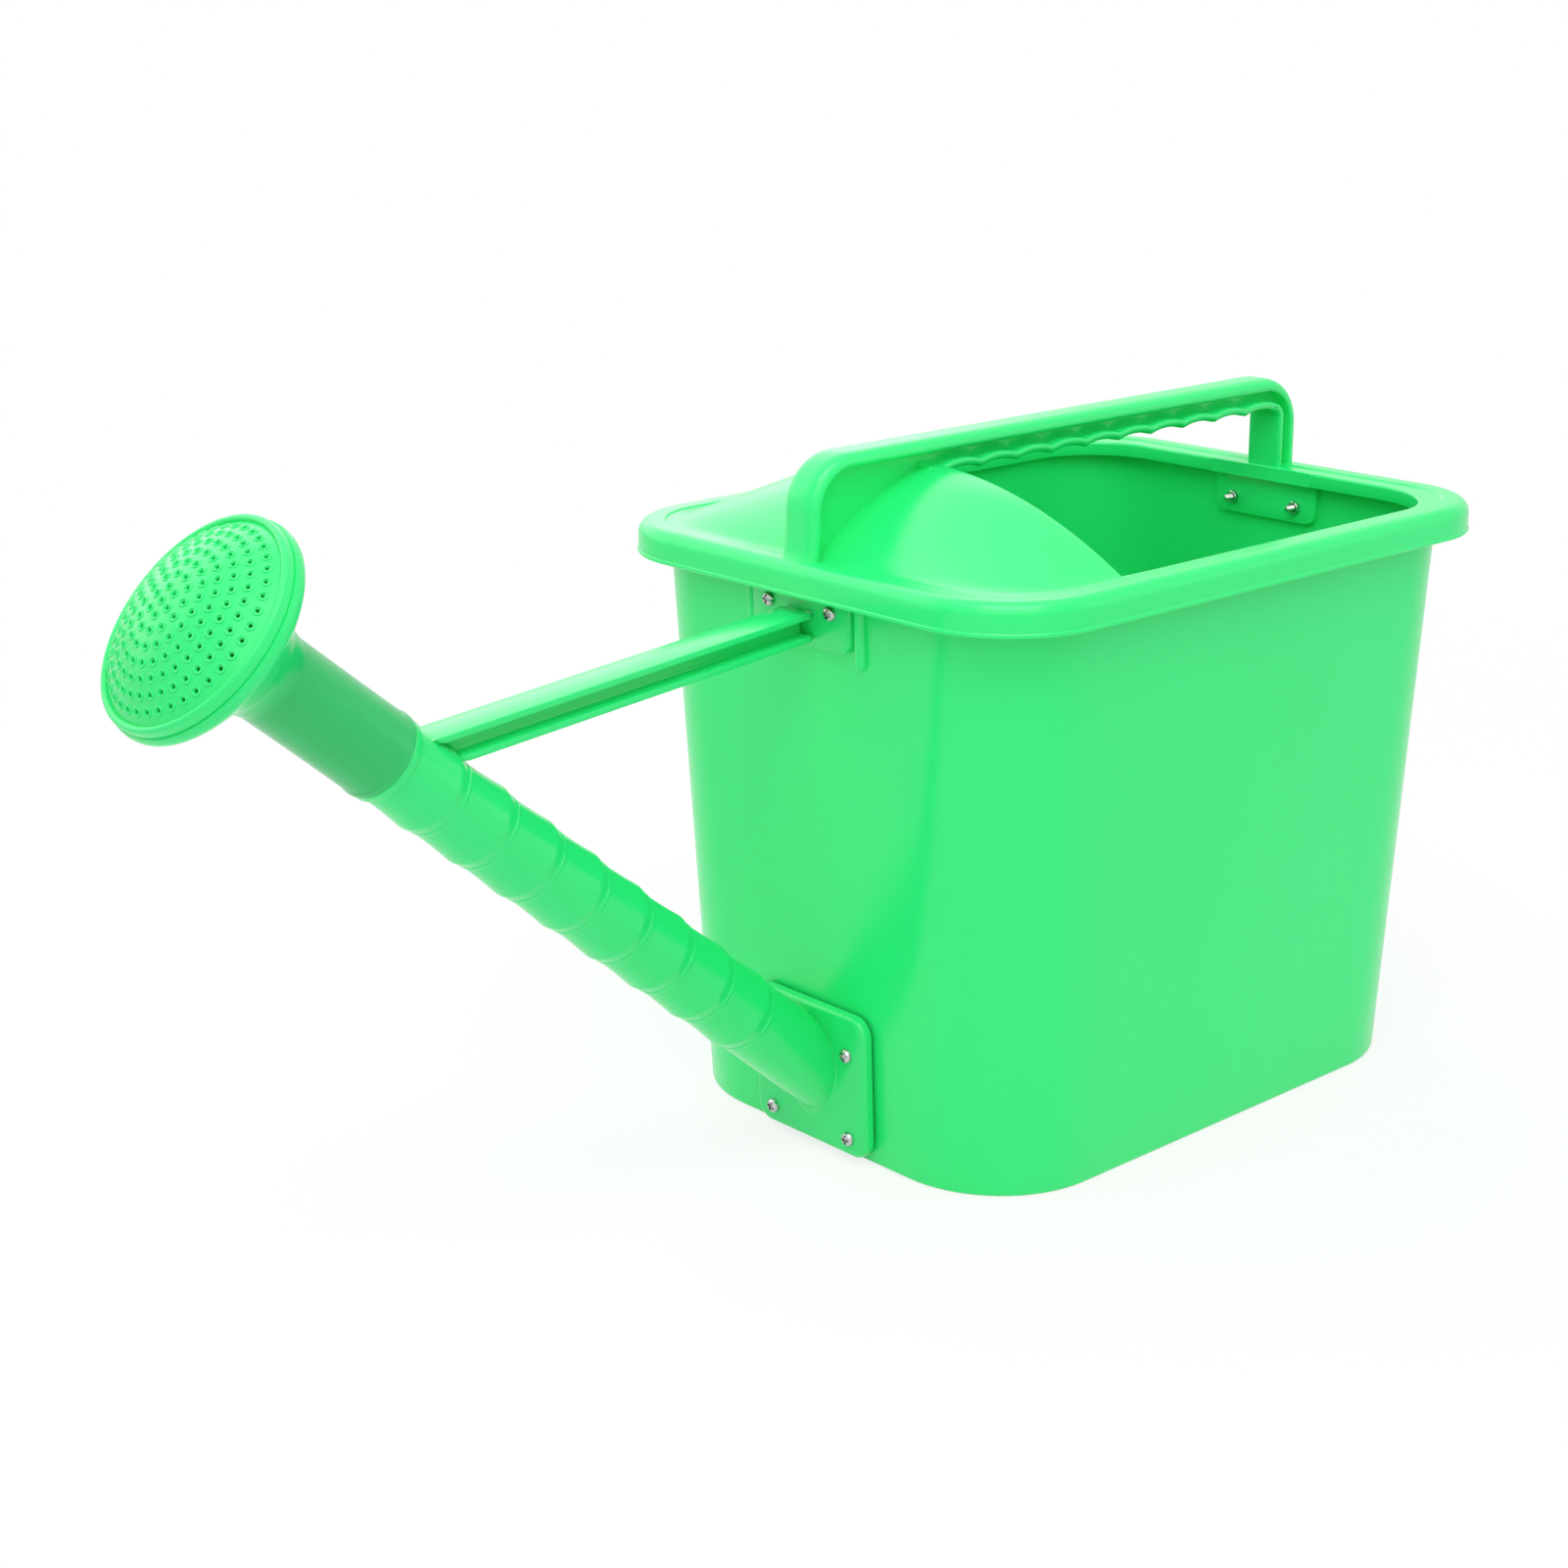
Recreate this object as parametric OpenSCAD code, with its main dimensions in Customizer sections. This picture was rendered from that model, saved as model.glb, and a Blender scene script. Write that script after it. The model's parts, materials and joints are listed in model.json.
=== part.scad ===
// Garden watering can: tapered tub, bolted cover with a splash guard and carrying handle,
// braced spout and a push-on rose with a perforated cap.
// The spout points to -X, the near side is -Y, and the tub stands on Z = 0 about the origin.

/* [Tub] */
// Length of the tub's base, along X
base_l = 272; // [240:1:320]
// Width of the tub's base, along Y
base_w = 202; // [180:1:230]
// Height of the tub's top edge
tub_h = 245.5; // [235:0.5:260]
// Draft angle of the four walls, in degrees
draft = 1.78; // [1.5:0.01:2]
// Radius of the upright corners at the base
base_corner_r = 50; // [40:1:60]
// Radius of the upright corners at the top
top_corner_r = 42; // [38:1:50]
// Thickness of the moulded walls
wall = 2.5; // [2:0.1:3]

/* [Cover] */
// How far the skirt stands out from the tub's top edge
skirt_out = 10.3; // [9:0.1:12]
// Height of the skirt, from its lower edge to the rim's top face
skirt_h = 13; // [11:0.5:18]
// Radius of the rim's outer roll
rim_roll_r = 5.5; // [4.5:0.5:7]
// Rise of the splash guard above the rim at its rear arch
guard_rise = 29; // [20:1:32]
// Length of the splash guard, from the skirt's front face to its rear arch
guard_l = 76; // [65:1:90]
// Width of the ledge behind the filling opening, from the tub's inner wall
ledge_w = 7.1; // [6:0.1:14]

/* [Handle] */
// Height of the handle's top face above the tub's top edge
handle_rise = 42.5; // [41:0.5:60]
// Width of the handle's two flanges
handle_w = 17.6; // [14:0.2:24]
// Radius of the handle's upper corners
handle_corner_r = 22; // [16:1:30]
// Number of finger scallops under the grip
scallop_count = 10; // [6:1:10]

/* [Spout] */
// Angle of the spout above the horizontal, in degrees
spout_angle = 40.8; // [39:0.1:43]
// Height at which the spout's axis meets the front wall
spout_root_z = 33; // [32:0.5:36]
// Length of the spout from the front wall to the stop collar
spout_l = 270.5; // [255:0.5:285]
// Largest radius of the stepped tube
spout_r = 16.4; // [16:0.1:18]
// Radius of the water way inside the tube
water_way_r = 12.4; // [11:0.1:12.6]
// Number of steps along the tube
step_count = 8; // [7:1:9]
// Width of the brace
brace_w = 16.5; // [12:0.5:20]
// Depth of the brace
brace_h = 11.8; // [10:0.2:14]

/* [Rose] */
// Radius of the rose's rim
rose_r = 42.1; // [40:0.1:45]
// Height of the perforated dome above its rim
rose_dome_h = 14.7; // [12:0.1:17]
// Number of rings of holes in the rose
hole_rings = 7; // [4:1:7]
// Spacing between rings of holes, along the dome
hole_pitch = 5.3; // [4.8:0.1:5.4]
// Diameter of each hole
hole_d = 1.6; // [1:0.1:2]

/* [Fasteners] */
// Diameter of the screws
screw_d = 3; // [3:0.5:3.5]
// Diameter of the screw heads
head_d = 6; // [5.5:0.5:7]
// Width of the nuts across their flats
nut_af = 5.5; // [5.5:0.1:6]

/* [Hidden] */
SCREW_SIDES = ["left", "right"];
$fn = 48;

moulded_green = [0.27, 0.92, 0.5];
rubber_black = [0.12, 0.12, 0.12];
zinc = [0.72, 0.72, 0.7];

// Outlines: every loft uses rounded rectangles with the same number of points
corner_steps = 6;
long_steps = 10;
short_steps = 8;
floor_t = 3;
foot_r = 2;
bead_w = 2.4;
bead_h = 3;

// Cover levels
cutter = 400;
cover_t = 2.5;
cover_top_z = tub_h + cover_t;
skirt_z = cover_top_z - skirt_h;
top_half_l = base_l / 2 + tub_h * tan(draft);
top_half_w = base_w / 2 + tub_h * tan(draft);
skirt_half_l = top_half_l + skirt_out;
skirt_half_w = top_half_w + skirt_out;
skirt_corner_r = top_corner_r + 2;
band_w = 14;
opening_corner_r = 36;
lip_h = 5;
lip_gap = 1.1;
opening_half_w = top_half_w - wall - cover_t - lip_gap;
opening_rear_x = top_half_l - wall - ledge_w;
arch_x = guard_l - skirt_half_l;
guard_power = 1.6;
guard_fade = 28;
tab_half_w = 28;
tab_t = 3;
front_tab_z = tub_h - 35.5;
rear_tab_z = tub_h - 22.5;

// Handle levels
handle_inset = 5.9;
handle_reach = skirt_half_l - handle_inset;
handle_top_z = tub_h + handle_rise;
grip_t = 3.7;
web_t = 4;
lower_flange_t = 5;
lower_flange_z = handle_top_z - 15;
leg_depth = 13.4;
leg_flange_t = 3.4;
scallop_h = 1.6;
scallop_gap = 2;
scallop_steps = 6;

// Spout levels, measured along its axis from the front wall
step_pitch = 26.5;
step_drop = 1;
step_shoulder = 6;
first_step = 24;
collar_l = 3.5;
spigot_r = 14.5;
spigot_l = 39.5;
spigot_gap = 0.06;
gasket_t = 1.5;
flange_t = 4.5;
flange_edge_t = 1.3;
flange_half_w = 33;
flange_z = [3, spout_root_z + 31.5];
flange_corner_r = 8;
plate_t = 3.5;
plate_top_z = tub_h - 5.5;
plate_corner_r = 6;
brace_flange_t = 2.6;
brace_web_t = 3.2;
brace_rise = 4.9;
brace_root_z = tub_h - 16.2;
brace_root_x = -base_l / 2 - brace_root_z * tan(draft);
brace_sink = 3.8;
guide_r = 2.6;
guide_y = tab_half_w + guide_r + 0.3;

// Rose levels, measured along the same axis; the rim is the seam between body and cap
rose_foot = spout_l + 0.2;
rose_rim_at = spout_l + 87;
rose_wall = 2;
rose_neck_r = spigot_r + 1.9;
plug_h = 4;
plug_bore_r = rose_r - 2.8;
plug_gap = 0.06;
rim_gap = 0.1;
border_r = 1.45;
border_at = rose_rim_at + 2.9;
border_mid_r = rose_r - 1 - border_r;
dome_at = rose_rim_at + 2.5;
dome_r = border_mid_r - border_r + 0.1;

// Fastener places: height up the wall and distance from the middle
clear_r = screw_d / 2 + 0.2;
head_h = 2.2;
recess_w = 0.9;
recess_l = 3.4;
recess_h = 1.3;
nut_h = 2.4;
nut_gap = 0.05;
flange_screw_y = 22.7;
flange_screw_z = [spout_root_z + 14.6, 10.9];
tab_screw_y = 17.5;
tab_screw_z = tub_h - 15.5;
flange_screw_l = 14;
brace_screw_l = 14;
rear_screw_l = 12;

// Outline points of a rounded rectangle, anticlockwise from the +X side
function corner(cx, cy, r, from) =
    [for (k = [0 : corner_steps]) let (a = from + 90 * k / corner_steps) [cx + r * cos(a), cy + r * sin(a)]];
function side(p, q, n) = [for (k = [1 : n - 1]) p + (q - p) * k / n];
function outline(hl, hw, r) = concat(
    corner(hl - r, hw - r, r, 0),
    side([hl - r, hw], [r - hl, hw], long_steps),
    corner(r - hl, hw - r, r, 90),
    side([-hl, hw - r], [-hl, r - hw], short_steps),
    corner(r - hl, r - hw, r, 180),
    side([r - hl, -hw], [hl - r, -hw], long_steps),
    corner(hl - r, r - hw, r, 270),
    side([hl, r - hw], [hl, hw - r], short_steps));

// Closed solid through a list of rings, each with the same number of points
function middle(ring) = let (n = len(ring)) [for (c = [0 : 2]) (ring[0][c] + ring[n / 2][c]) / 2];
module loft(rings) {
    n = len(rings[0]);
    m = len(rings);
    points = concat([for (ring = rings) each ring], [middle(rings[0]), middle(rings[m - 1])]);
    skin = [for (j = [0 : m - 2]) for (k = [0 : n - 1]) let (a = j * n + k, b = j * n + (k + 1) % n)
        each [[a, a + n, b], [b, a + n, b + n]]];
    start = [for (k = [0 : n - 1]) [k, (k + 1) % n, n * m]];
    end = [for (k = [0 : n - 1]) [(m - 1) * n + (k + 1) % n, (m - 1) * n + k, n * m + 1]];
    polyhedron(points = points, faces = concat(start, skin, end), convexity = 6);
}

// Tub outline at height z, moved outwards by grow
function tub_ring(z, grow) =
    let (r = base_corner_r + (top_corner_r - base_corner_r) * z / tub_h)
    [for (p = outline(base_l / 2 + z * tan(draft) + grow, base_w / 2 + z * tan(draft) + grow, r + grow))
        [p[0], p[1], z]];

// Frames on the drafted end walls: X points into the tub from the wall's outer face
module on_front() {
    translate([-base_l / 2, 0, 0]) rotate([0, -draft, 0]) children();
}
module on_rear() {
    mirror([1, 0, 0]) on_front() children();
}
// Frame on the spout's axis, Z points from the front wall to the rose
module on_spout() {
    translate([-base_l / 2 - spout_root_z * tan(draft), 0, spout_root_z])
        rotate([0, spout_angle - 90, 0]) children();
}
// Cylinder through an end wall, from x0 to x1
module cross_bore(x0, x1, y, z, r) {
    translate([x0, y, z]) rotate([0, 90, 0]) cylinder(r = r, h = x1 - x0);
}
module flange_bores(x0, x1, r) {
    for (y = [-flange_screw_y, flange_screw_y], z = flange_screw_z) cross_bore(x0, x1, y, z, r);
}
module tab_bores(x0, x1, r) {
    for (y = [-tab_screw_y, tab_screw_y]) cross_bore(x0, x1, y, tab_screw_z, r);
}
// Plate with round corners, standing across the wall from x0, between two heights
module plate(x0, t, half_w, z0, z1, r) {
    translate([x0, 0, 0]) rotate([90, 0, 90]) linear_extrude(t) {
        translate([-half_w + r, z0]) square([2 * (half_w - r), z1 - z0]);
        translate([-half_w, z0 + r]) square([2 * half_w, z1 - z0 - 2 * r]);
        for (y = [r - half_w, half_w - r], z = [z0 + r, z1 - r]) translate([y, z]) circle(r = r);
    }
}

module tub() {
    color(moulded_green) difference() {
        union() {
            loft([
                tub_ring(0, -foot_r), tub_ring(foot_r * 0.3, -foot_r * 0.3), tub_ring(foot_r, 0),
                tub_ring(tub_h - bead_h - bead_w / 2, 0), tub_ring(tub_h - bead_h, bead_w), tub_ring(tub_h, bead_w),
                tub_ring(tub_h, -wall), tub_ring(foot_r + floor_t, -wall),
                tub_ring(floor_t + foot_r * 0.3, -wall - foot_r * 0.3), tub_ring(floor_t, -wall - foot_r)
            ]);
            on_front() for (y = [-guide_y, guide_y])
                translate([-0.4, y, front_tab_z - 1]) cylinder(r = guide_r, h = skirt_z - front_tab_z);
        }
        on_spout() translate([0, 0, -30]) cylinder(r = water_way_r + 1, h = 50);
        on_front() flange_bores(-5, wall + 5, clear_r);
        on_front() tab_bores(-5, wall + 5, clear_r);
        on_rear() tab_bores(-5, wall + 5, clear_r);
    }
}

// Height of the cover's top face above the rim: ramps up from the front, arched across
function guard_front_x() = band_w - skirt_half_l;
function guard_half_w(x) =
    let (r = skirt_corner_r - band_w, hw = skirt_half_w - band_w, short = max(0, guard_front_x() + r - x))
    hw - r + sqrt(max(0, r * r - short * short));
function guard_z(x, y) =
    let (u = min(1, max(0, (x - guard_front_x()) / (arch_x - guard_front_x()))),
         fade = min(1, max(0, (opening_rear_x - 6 - x) / guard_fade)),
         v = min(1, abs(y) / max(1, guard_half_w(x))))
    guard_rise * (1 - pow(1 - u, guard_power)) * (1 - v * v) * fade;
function cover_ring(inset, z, rise) =
    [for (p = outline(skirt_half_l - inset, skirt_half_w - inset, max(3, skirt_corner_r - inset)))
        [p[0], p[1], z + (rise ? guard_z(p[0], p[1]) : 0)]];
function roll_rings(r, from, to) =
    [for (k = [0 : 4]) let (a = from + (to - from) * k / 4)
        cover_ring(rim_roll_r - r * cos(a), cover_top_z - rim_roll_r + r * sin(a), false)];

inner_insets = [band_w, 20, 28, 38, 50, 64, 80, 98];
module cover_shell() {
    loft(concat(
        [for (k = [len(inner_insets) - 1 : -1 : 0]) cover_ring(inner_insets[k], tub_h, true)],
        roll_rings(rim_roll_r - cover_t, 90, 0),
        [cover_ring(cover_t, skirt_z, false), cover_ring(0, skirt_z, false)],
        roll_rings(rim_roll_r, 0, 90),
        [for (inset = inner_insets) cover_ring(inset, cover_top_z, true)]));
}
// Plan of the filling opening: square at the arch, round at the rear
module opening_plan(x0, grow) {
    r = opening_corner_r + grow;
    hw = opening_half_w + grow;
    x1 = opening_rear_x + grow;
    translate([x0, -hw]) square([x1 - r - x0, 2 * hw]);
    translate([x1 - r - 1, r - hw]) square([r + 1, 2 * (hw - r)]);
    for (y = [r - hw, hw - r]) translate([x1 - r, y]) circle(r = r, $fn = 96);
}
module opening_lip() {
    translate([0, 0, tub_h + 1 - lip_h]) linear_extrude(lip_h) difference() {
        opening_plan(arch_x, cover_t);
        opening_plan(arch_x - 1, 0);
    }
}

// Side view of the handle, X along the can and Y up
module handle_outline(inset) {
    r = handle_corner_r - inset;
    reach = handle_reach - inset;
    top = handle_top_z - inset;
    foot = tub_h + 0.5;
    intersection() {
        translate([-reach, foot]) square([2 * reach, top - foot]);
        union() {
            translate([-reach, foot - r]) square([2 * reach, top - foot]);
            translate([r - reach, foot]) square([2 * (reach - r), top - foot]);
            for (x = [r - reach, reach - r]) translate([x, top - r]) circle(r = r, $fn = 64);
        }
    }
}
inner_leg_x = handle_reach - leg_depth;
scallop_pitch = (inner_leg_x - 2 - arch_x - scallop_gap) / scallop_count;
function scallop_z(x) =
    let (t = (x - arch_x - scallop_gap) / scallop_pitch, f = t - floor(t))
    (t <= 0 || t >= scallop_count) ? 0 : scallop_h * 4 * f * (1 - f);
scallop_x = [for (k = [0 : scallop_count * scallop_steps]) arch_x + scallop_gap + k * scallop_pitch / scallop_steps];
// Band under the grip, with its finger scallops
module lower_flange_band(t) {
    polygon(concat(
        [[arch_x - 6, lower_flange_z], [arch_x - 6, lower_flange_z + t]],
        [for (x = scallop_x) [x, lower_flange_z + t + scallop_z(x)]],
        [[inner_leg_x + 1, lower_flange_z + t], [inner_leg_x + 1, lower_flange_z]],
        [for (k = [len(scallop_x) - 1 : -1 : 0]) [scallop_x[k], lower_flange_z + scallop_z(scallop_x[k])]]));
}
// Space under the handle: the guard in front, the finger gap behind
module under_handle() {
    low = tub_h - 20;
    guard_x = [for (k = [0 : 12]) guard_front_x() + (arch_x - guard_front_x()) * k / 12];
    polygon(concat(
        [[-handle_reach - 1, low], [-handle_reach - 1, cover_top_z - 1.2]],
        [for (x = guard_x) [x, cover_top_z - 1.2 + guard_z(x, 0)]],
        [[arch_x, lower_flange_z + 1], [inner_leg_x, lower_flange_z + 1], [inner_leg_x, low]]));
}
module upright_slab(t) {
    translate([0, t / 2, 0]) rotate([90, 0, 0]) linear_extrude(t) children();
}
// The front leg's foot flares out to the skirt
foot_flare = [[1, -1.2], [1, 14], [0, 14], [-0.6, 6], [-1.4, 2], [-2.3, -0.2], [-2.3, -1.2]];
module handle() {
    upright_slab(handle_w) polygon([for (p = foot_flare) [p[0] - handle_reach, cover_top_z + p[1]]]);
    upright_slab(handle_w) difference() {
        handle_outline(0);
        handle_outline(grip_t);
    }
    upright_slab(web_t) difference() {
        handle_outline(grip_t / 2);
        under_handle();
    }
    upright_slab(handle_w) {
        lower_flange_band(lower_flange_t);
        translate([inner_leg_x, tub_h + 0.5]) square([leg_flange_t, lower_flange_z + lower_flange_t - tub_h]);
    }
}

module handle_cover() {
    color(moulded_green) difference() {
        union() {
            difference() {
                cover_shell();
                translate([0, 0, tub_h - 30]) linear_extrude(cutter) opening_plan(arch_x, 0);
            }
            opening_lip();
            handle();
            on_front() plate(wall, tab_t, tab_half_w, front_tab_z, cover_top_z - 1, 5);
            on_rear() plate(wall, tab_t, tab_half_w, rear_tab_z, cover_top_z - 1, 5);
            on_rear() translate([wall, -tab_half_w, tub_h - lip_h])
                cube([top_half_l - opening_rear_x - wall, 2 * tab_half_w, lip_h + 1]);
        }
        on_front() tab_bores(0, wall + tab_t + 5, clear_r);
        on_rear() tab_bores(0, wall + tab_t + 5, clear_r);
    }
}

// Stepped outside of the tube, [radius, distance along the axis], from the wall up
function step_at(k) = spout_l - first_step - step_pitch * k;
function spout_outer() = concat(
    [[spout_r, -30], [spout_r - step_drop, step_at(step_count - 1) - step_shoulder]],
    [for (k = [step_count - 1 : -1 : 0]) each [
        [spout_r, step_at(k)],
        [spout_r - step_drop * 0.72, step_at(k) + 6],
        [spout_r - step_drop, k == 0 ? spout_l - collar_l : step_at(k) + step_pitch - step_shoulder]]]);
module spout_tube() {
    outer = spout_outer();
    rotate_extrude() polygon(concat([[0, -30]], outer,
        [[spout_r + 0.2, spout_l - collar_l], [spout_r + 0.2, spout_l], [spigot_r, spout_l],
         [spigot_r, spout_l + spigot_l - 1], [spigot_r - 1, spout_l + spigot_l], [0, spout_l + spigot_l]]));
}
// Distance from the brace's root on the wall to the spout's axis, square to that axis
brace_root_d = (brace_root_z - spout_root_z) * cos(spout_angle)
    + (brace_root_x + base_l / 2 + spout_root_z * tan(draft)) * sin(spout_angle);
brace_l = (brace_root_d - spout_r + brace_sink) / sin(spout_angle + brace_rise);
module brace() {
    translate([brace_root_x, 0, brace_root_z]) rotate([0, -brace_rise, 0]) translate([-brace_l, 0, 0]) {
        for (z = [-brace_flange_t, -brace_h])
            translate([0, -brace_w / 2, z]) cube([brace_l + brace_h, brace_w, brace_flange_t]);
        translate([0, -brace_web_t / 2, -brace_h]) cube([brace_l + brace_h, brace_web_t, brace_h]);
    }
}
module spout_with_brace() {
    color(moulded_green) difference() {
        union() {
            difference() {
                on_spout() spout_tube();
                on_front() translate([-gasket_t - 0.5, -cutter / 2, -cutter / 2]) cube(cutter);
            }
            on_front() plate(-gasket_t - flange_t + flange_edge_t, flange_t - flange_edge_t,
                flange_half_w, flange_z[0], flange_z[1], flange_corner_r);
            on_front() plate(-gasket_t - flange_t, flange_edge_t + 0.1,
                flange_half_w - 1.3, flange_z[0] + 1.3, flange_z[1] - 1.3, flange_corner_r - 1.3);
            difference() {
                brace();
                on_front() translate([-1, -cutter / 2, 0]) cube(cutter);
            }
            on_front() plate(-plate_t, plate_t, tab_half_w, front_tab_z, plate_top_z, plate_corner_r);
        }
        on_spout() translate([0, 0, -60]) cylinder(r = water_way_r, h = spout_l + spigot_l + 80);
        on_front() flange_bores(-30, 5, clear_r);
        on_front() tab_bores(-30, 5, clear_r);
    }
}
module spout_gasket() {
    color(rubber_black) difference() {
        on_front() plate(-gasket_t, gasket_t, flange_half_w - 2, flange_z[0] + 4, flange_z[1] - 2, flange_corner_r - 2);
        on_spout() translate([0, 0, -30]) cylinder(r = water_way_r + 0.5, h = 60);
        on_front() flange_bores(-5, 5, clear_r);
    }
}

// Rose: sleeve over the spigot, then a funnel out to the rim that holds the cap.
// Each funnel point is its share of the way from the neck's radius to the rim's, and its place from the rim
funnel = [[0, -27.5], [0.1, -23.5], [0.25, -19.5], [0.39, -16.5], [0.53, -13.5], [0.72, -9.5], [0.84, -7.5],
    [0.94, -5.5], [0.98, -4], [1, -2], [0.99, -0.2]];
inner_funnel = [[0.84, -7.5], [0.72, -9.5], [0.53, -13.5], [0.39, -16.5], [0.25, -19.5], [0.1, -23.5], [0, -27.5]];
function funnel_point(p) = [rose_neck_r + (rose_r - rose_neck_r) * p[0], rose_rim_at + p[1]];
module rose_body() {
    bore = spigot_r + spigot_gap;
    stop = spout_l + spigot_l + 1;
    way = spigot_r - 1.5;
    color(moulded_green) on_spout() rotate_extrude($fn = 96) polygon(concat(
        [[bore, rose_foot], [rose_neck_r + 0.5, rose_foot], [rose_neck_r, rose_foot + 10]],
        [for (p = funnel) funnel_point(p)],
        [[rose_r - 0.8, rose_rim_at], [plug_bore_r, rose_rim_at], [plug_bore_r, rose_rim_at - plug_h - 0.3],
         [plug_bore_r - rose_wall, rose_rim_at - plug_h - 0.3]],
        [for (p = inner_funnel) funnel_point(p) + [-0.8, 0.75] * rose_wall],
        [[way, stop + 12], [way, stop], [bore, stop]]));
}
dome_sphere_r = (dome_r * dome_r + rose_dome_h * rose_dome_h) / (2 * rose_dome_h);
function dome_point(a, r) = [r * sin(a), dome_at + rose_dome_h - dome_sphere_r + r * cos(a)];
dome_edge_a = asin(dome_r / dome_sphere_r);
function dome_arc(r, from, to) = [for (k = [0 : 8]) dome_point(from + (to - from) * k / 8, r)];
function border_arc() = [for (k = [0 : 8]) let (a = 170 - 170 * k / 8)
    [border_mid_r + border_r * cos(a), border_at + border_r * sin(a)]];
// Holes in each ring: six more in each, but fewer in the outermost of seven
function ring_holes(ring) = ring == 7 ? 40 : 6 * ring;
function ring_r(ring) = dome_sphere_r * sin(ring * hole_pitch / dome_sphere_r * 180 / PI);
module rose_face() {
    plug_r = plug_bore_r - plug_gap;
    color(moulded_green) on_spout() difference() {
        rotate_extrude($fn = 72) polygon(concat(
            dome_arc(dome_sphere_r, 0, dome_edge_a), border_arc(),
            [[border_mid_r + border_r, rose_rim_at + rim_gap], [plug_r, rose_rim_at + rim_gap],
             [plug_r, rose_rim_at - plug_h], [plug_r - rose_wall, rose_rim_at - plug_h],
             [plug_r - rose_wall, rose_rim_at + 1]],
            dome_arc(dome_sphere_r - rose_wall, dome_edge_a, 0)));
        for (ring = [1 : hole_rings], k = [0 : ring_holes(ring) - 1]) rotate(360 * k / ring_holes(ring))
            translate([ring_r(ring), 0, rose_rim_at]) cylinder(d = hole_d, h = rose_dome_h + 10, $fn = 10);
        translate([0, 0, rose_rim_at]) cylinder(d = hole_d, h = rose_dome_h + 10, $fn = 10);
    }
}

// Pan-head screw: the head stands outside its seat at x = seat, the shank points into the tub
module pan_screw(seat, length, y, z) {
    color(zinc) translate([seat, y, z]) rotate([0, 90, 0]) difference() {
        union() {
            cylinder(d = screw_d, h = length - 0.4, $fn = 32);
            rotate_extrude($fn = 48) polygon([[0, -head_h], [head_d * 0.2, -head_h * 0.96], [head_d * 0.36, -head_h * 0.74],
                [head_d * 0.46, -head_h * 0.4], [head_d / 2, 0], [0, 0]]);
            translate([0, 0, length - 0.4]) cylinder(d1 = screw_d, d2 = screw_d - 0.8, h = 0.4, $fn = 32);
        }
        for (a = [0, 90]) rotate(a)
            translate([-recess_l / 2, -recess_w / 2, -head_h - 1]) cube([recess_l, recess_w, recess_h + 1]);
    }
}
module hex_nut(seat, y, z) {
    color(zinc) translate([seat, y, z]) rotate([0, 90, 0]) difference() {
        cylinder(d = nut_af / cos(30), h = nut_h, $fn = 6);
        translate([0, 0, -1]) cylinder(d = screw_d + 2 * nut_gap, h = nut_h + 2, $fn = 32);
    }
}
// Flange fasteners count from the upper left, seen from the front
flange_places = [[flange_screw_y, flange_screw_z[0]], [-flange_screw_y, flange_screw_z[0]],
    [flange_screw_y, flange_screw_z[1]], [-flange_screw_y, flange_screw_z[1]]];
module spout_screw(k) {
    on_front() pan_screw(-gasket_t - flange_t, flange_screw_l, flange_places[k][0], flange_places[k][1]);
}
module spout_nut(k) {
    on_front() hex_nut(wall, flange_places[k][0], flange_places[k][1]);
}
function side_y(k) = k == 0 ? tab_screw_y : -tab_screw_y;
module brace_screw(k) {
    on_front() pan_screw(-plate_t, brace_screw_l, side_y(k), tab_screw_z);
}
module brace_nut(k) {
    on_front() hex_nut(wall + tab_t, side_y(k), tab_screw_z);
}
module rear_screw(k) {
    on_rear() pan_screw(0, rear_screw_l, side_y(k), tab_screw_z);
}
module rear_nut(k) {
    on_rear() hex_nut(wall + tab_t, side_y(k), tab_screw_z);
}

tub();
handle_cover();
spout_with_brace();
spout_gasket();
rose_body();
rose_face();
for (k = [0 : 3]) spout_screw(k);
for (k = [0 : 3]) spout_nut(k);
for (k = [0, 1]) brace_screw(k);
for (k = [0, 1]) brace_nut(k);
for (k = [0, 1]) rear_screw(k);
for (k = [0, 1]) rear_nut(k);
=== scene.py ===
import bmesh
import bpy
import json
import math
from mathutils import Matrix, Vector
from types import SimpleNamespace


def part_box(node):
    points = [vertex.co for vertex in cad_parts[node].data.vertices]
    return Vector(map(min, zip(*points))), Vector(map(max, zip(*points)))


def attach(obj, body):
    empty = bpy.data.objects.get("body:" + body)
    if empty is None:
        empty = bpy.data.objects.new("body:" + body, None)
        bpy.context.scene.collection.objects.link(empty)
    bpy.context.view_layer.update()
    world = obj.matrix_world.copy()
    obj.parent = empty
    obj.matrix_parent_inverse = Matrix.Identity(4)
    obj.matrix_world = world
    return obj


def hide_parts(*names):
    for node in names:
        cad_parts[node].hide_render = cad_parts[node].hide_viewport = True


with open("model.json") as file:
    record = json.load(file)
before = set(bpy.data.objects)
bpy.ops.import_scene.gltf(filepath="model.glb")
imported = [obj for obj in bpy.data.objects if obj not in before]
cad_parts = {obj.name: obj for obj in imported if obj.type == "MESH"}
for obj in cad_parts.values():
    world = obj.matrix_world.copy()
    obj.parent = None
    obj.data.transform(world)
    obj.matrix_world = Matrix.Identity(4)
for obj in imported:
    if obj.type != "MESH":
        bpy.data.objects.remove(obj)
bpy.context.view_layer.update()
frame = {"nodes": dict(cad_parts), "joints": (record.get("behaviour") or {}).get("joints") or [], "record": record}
mm = 0.001


# sizes taken from the frame, in millimetres
def farCorner(node):
    return [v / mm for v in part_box(node)[1]]


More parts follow.
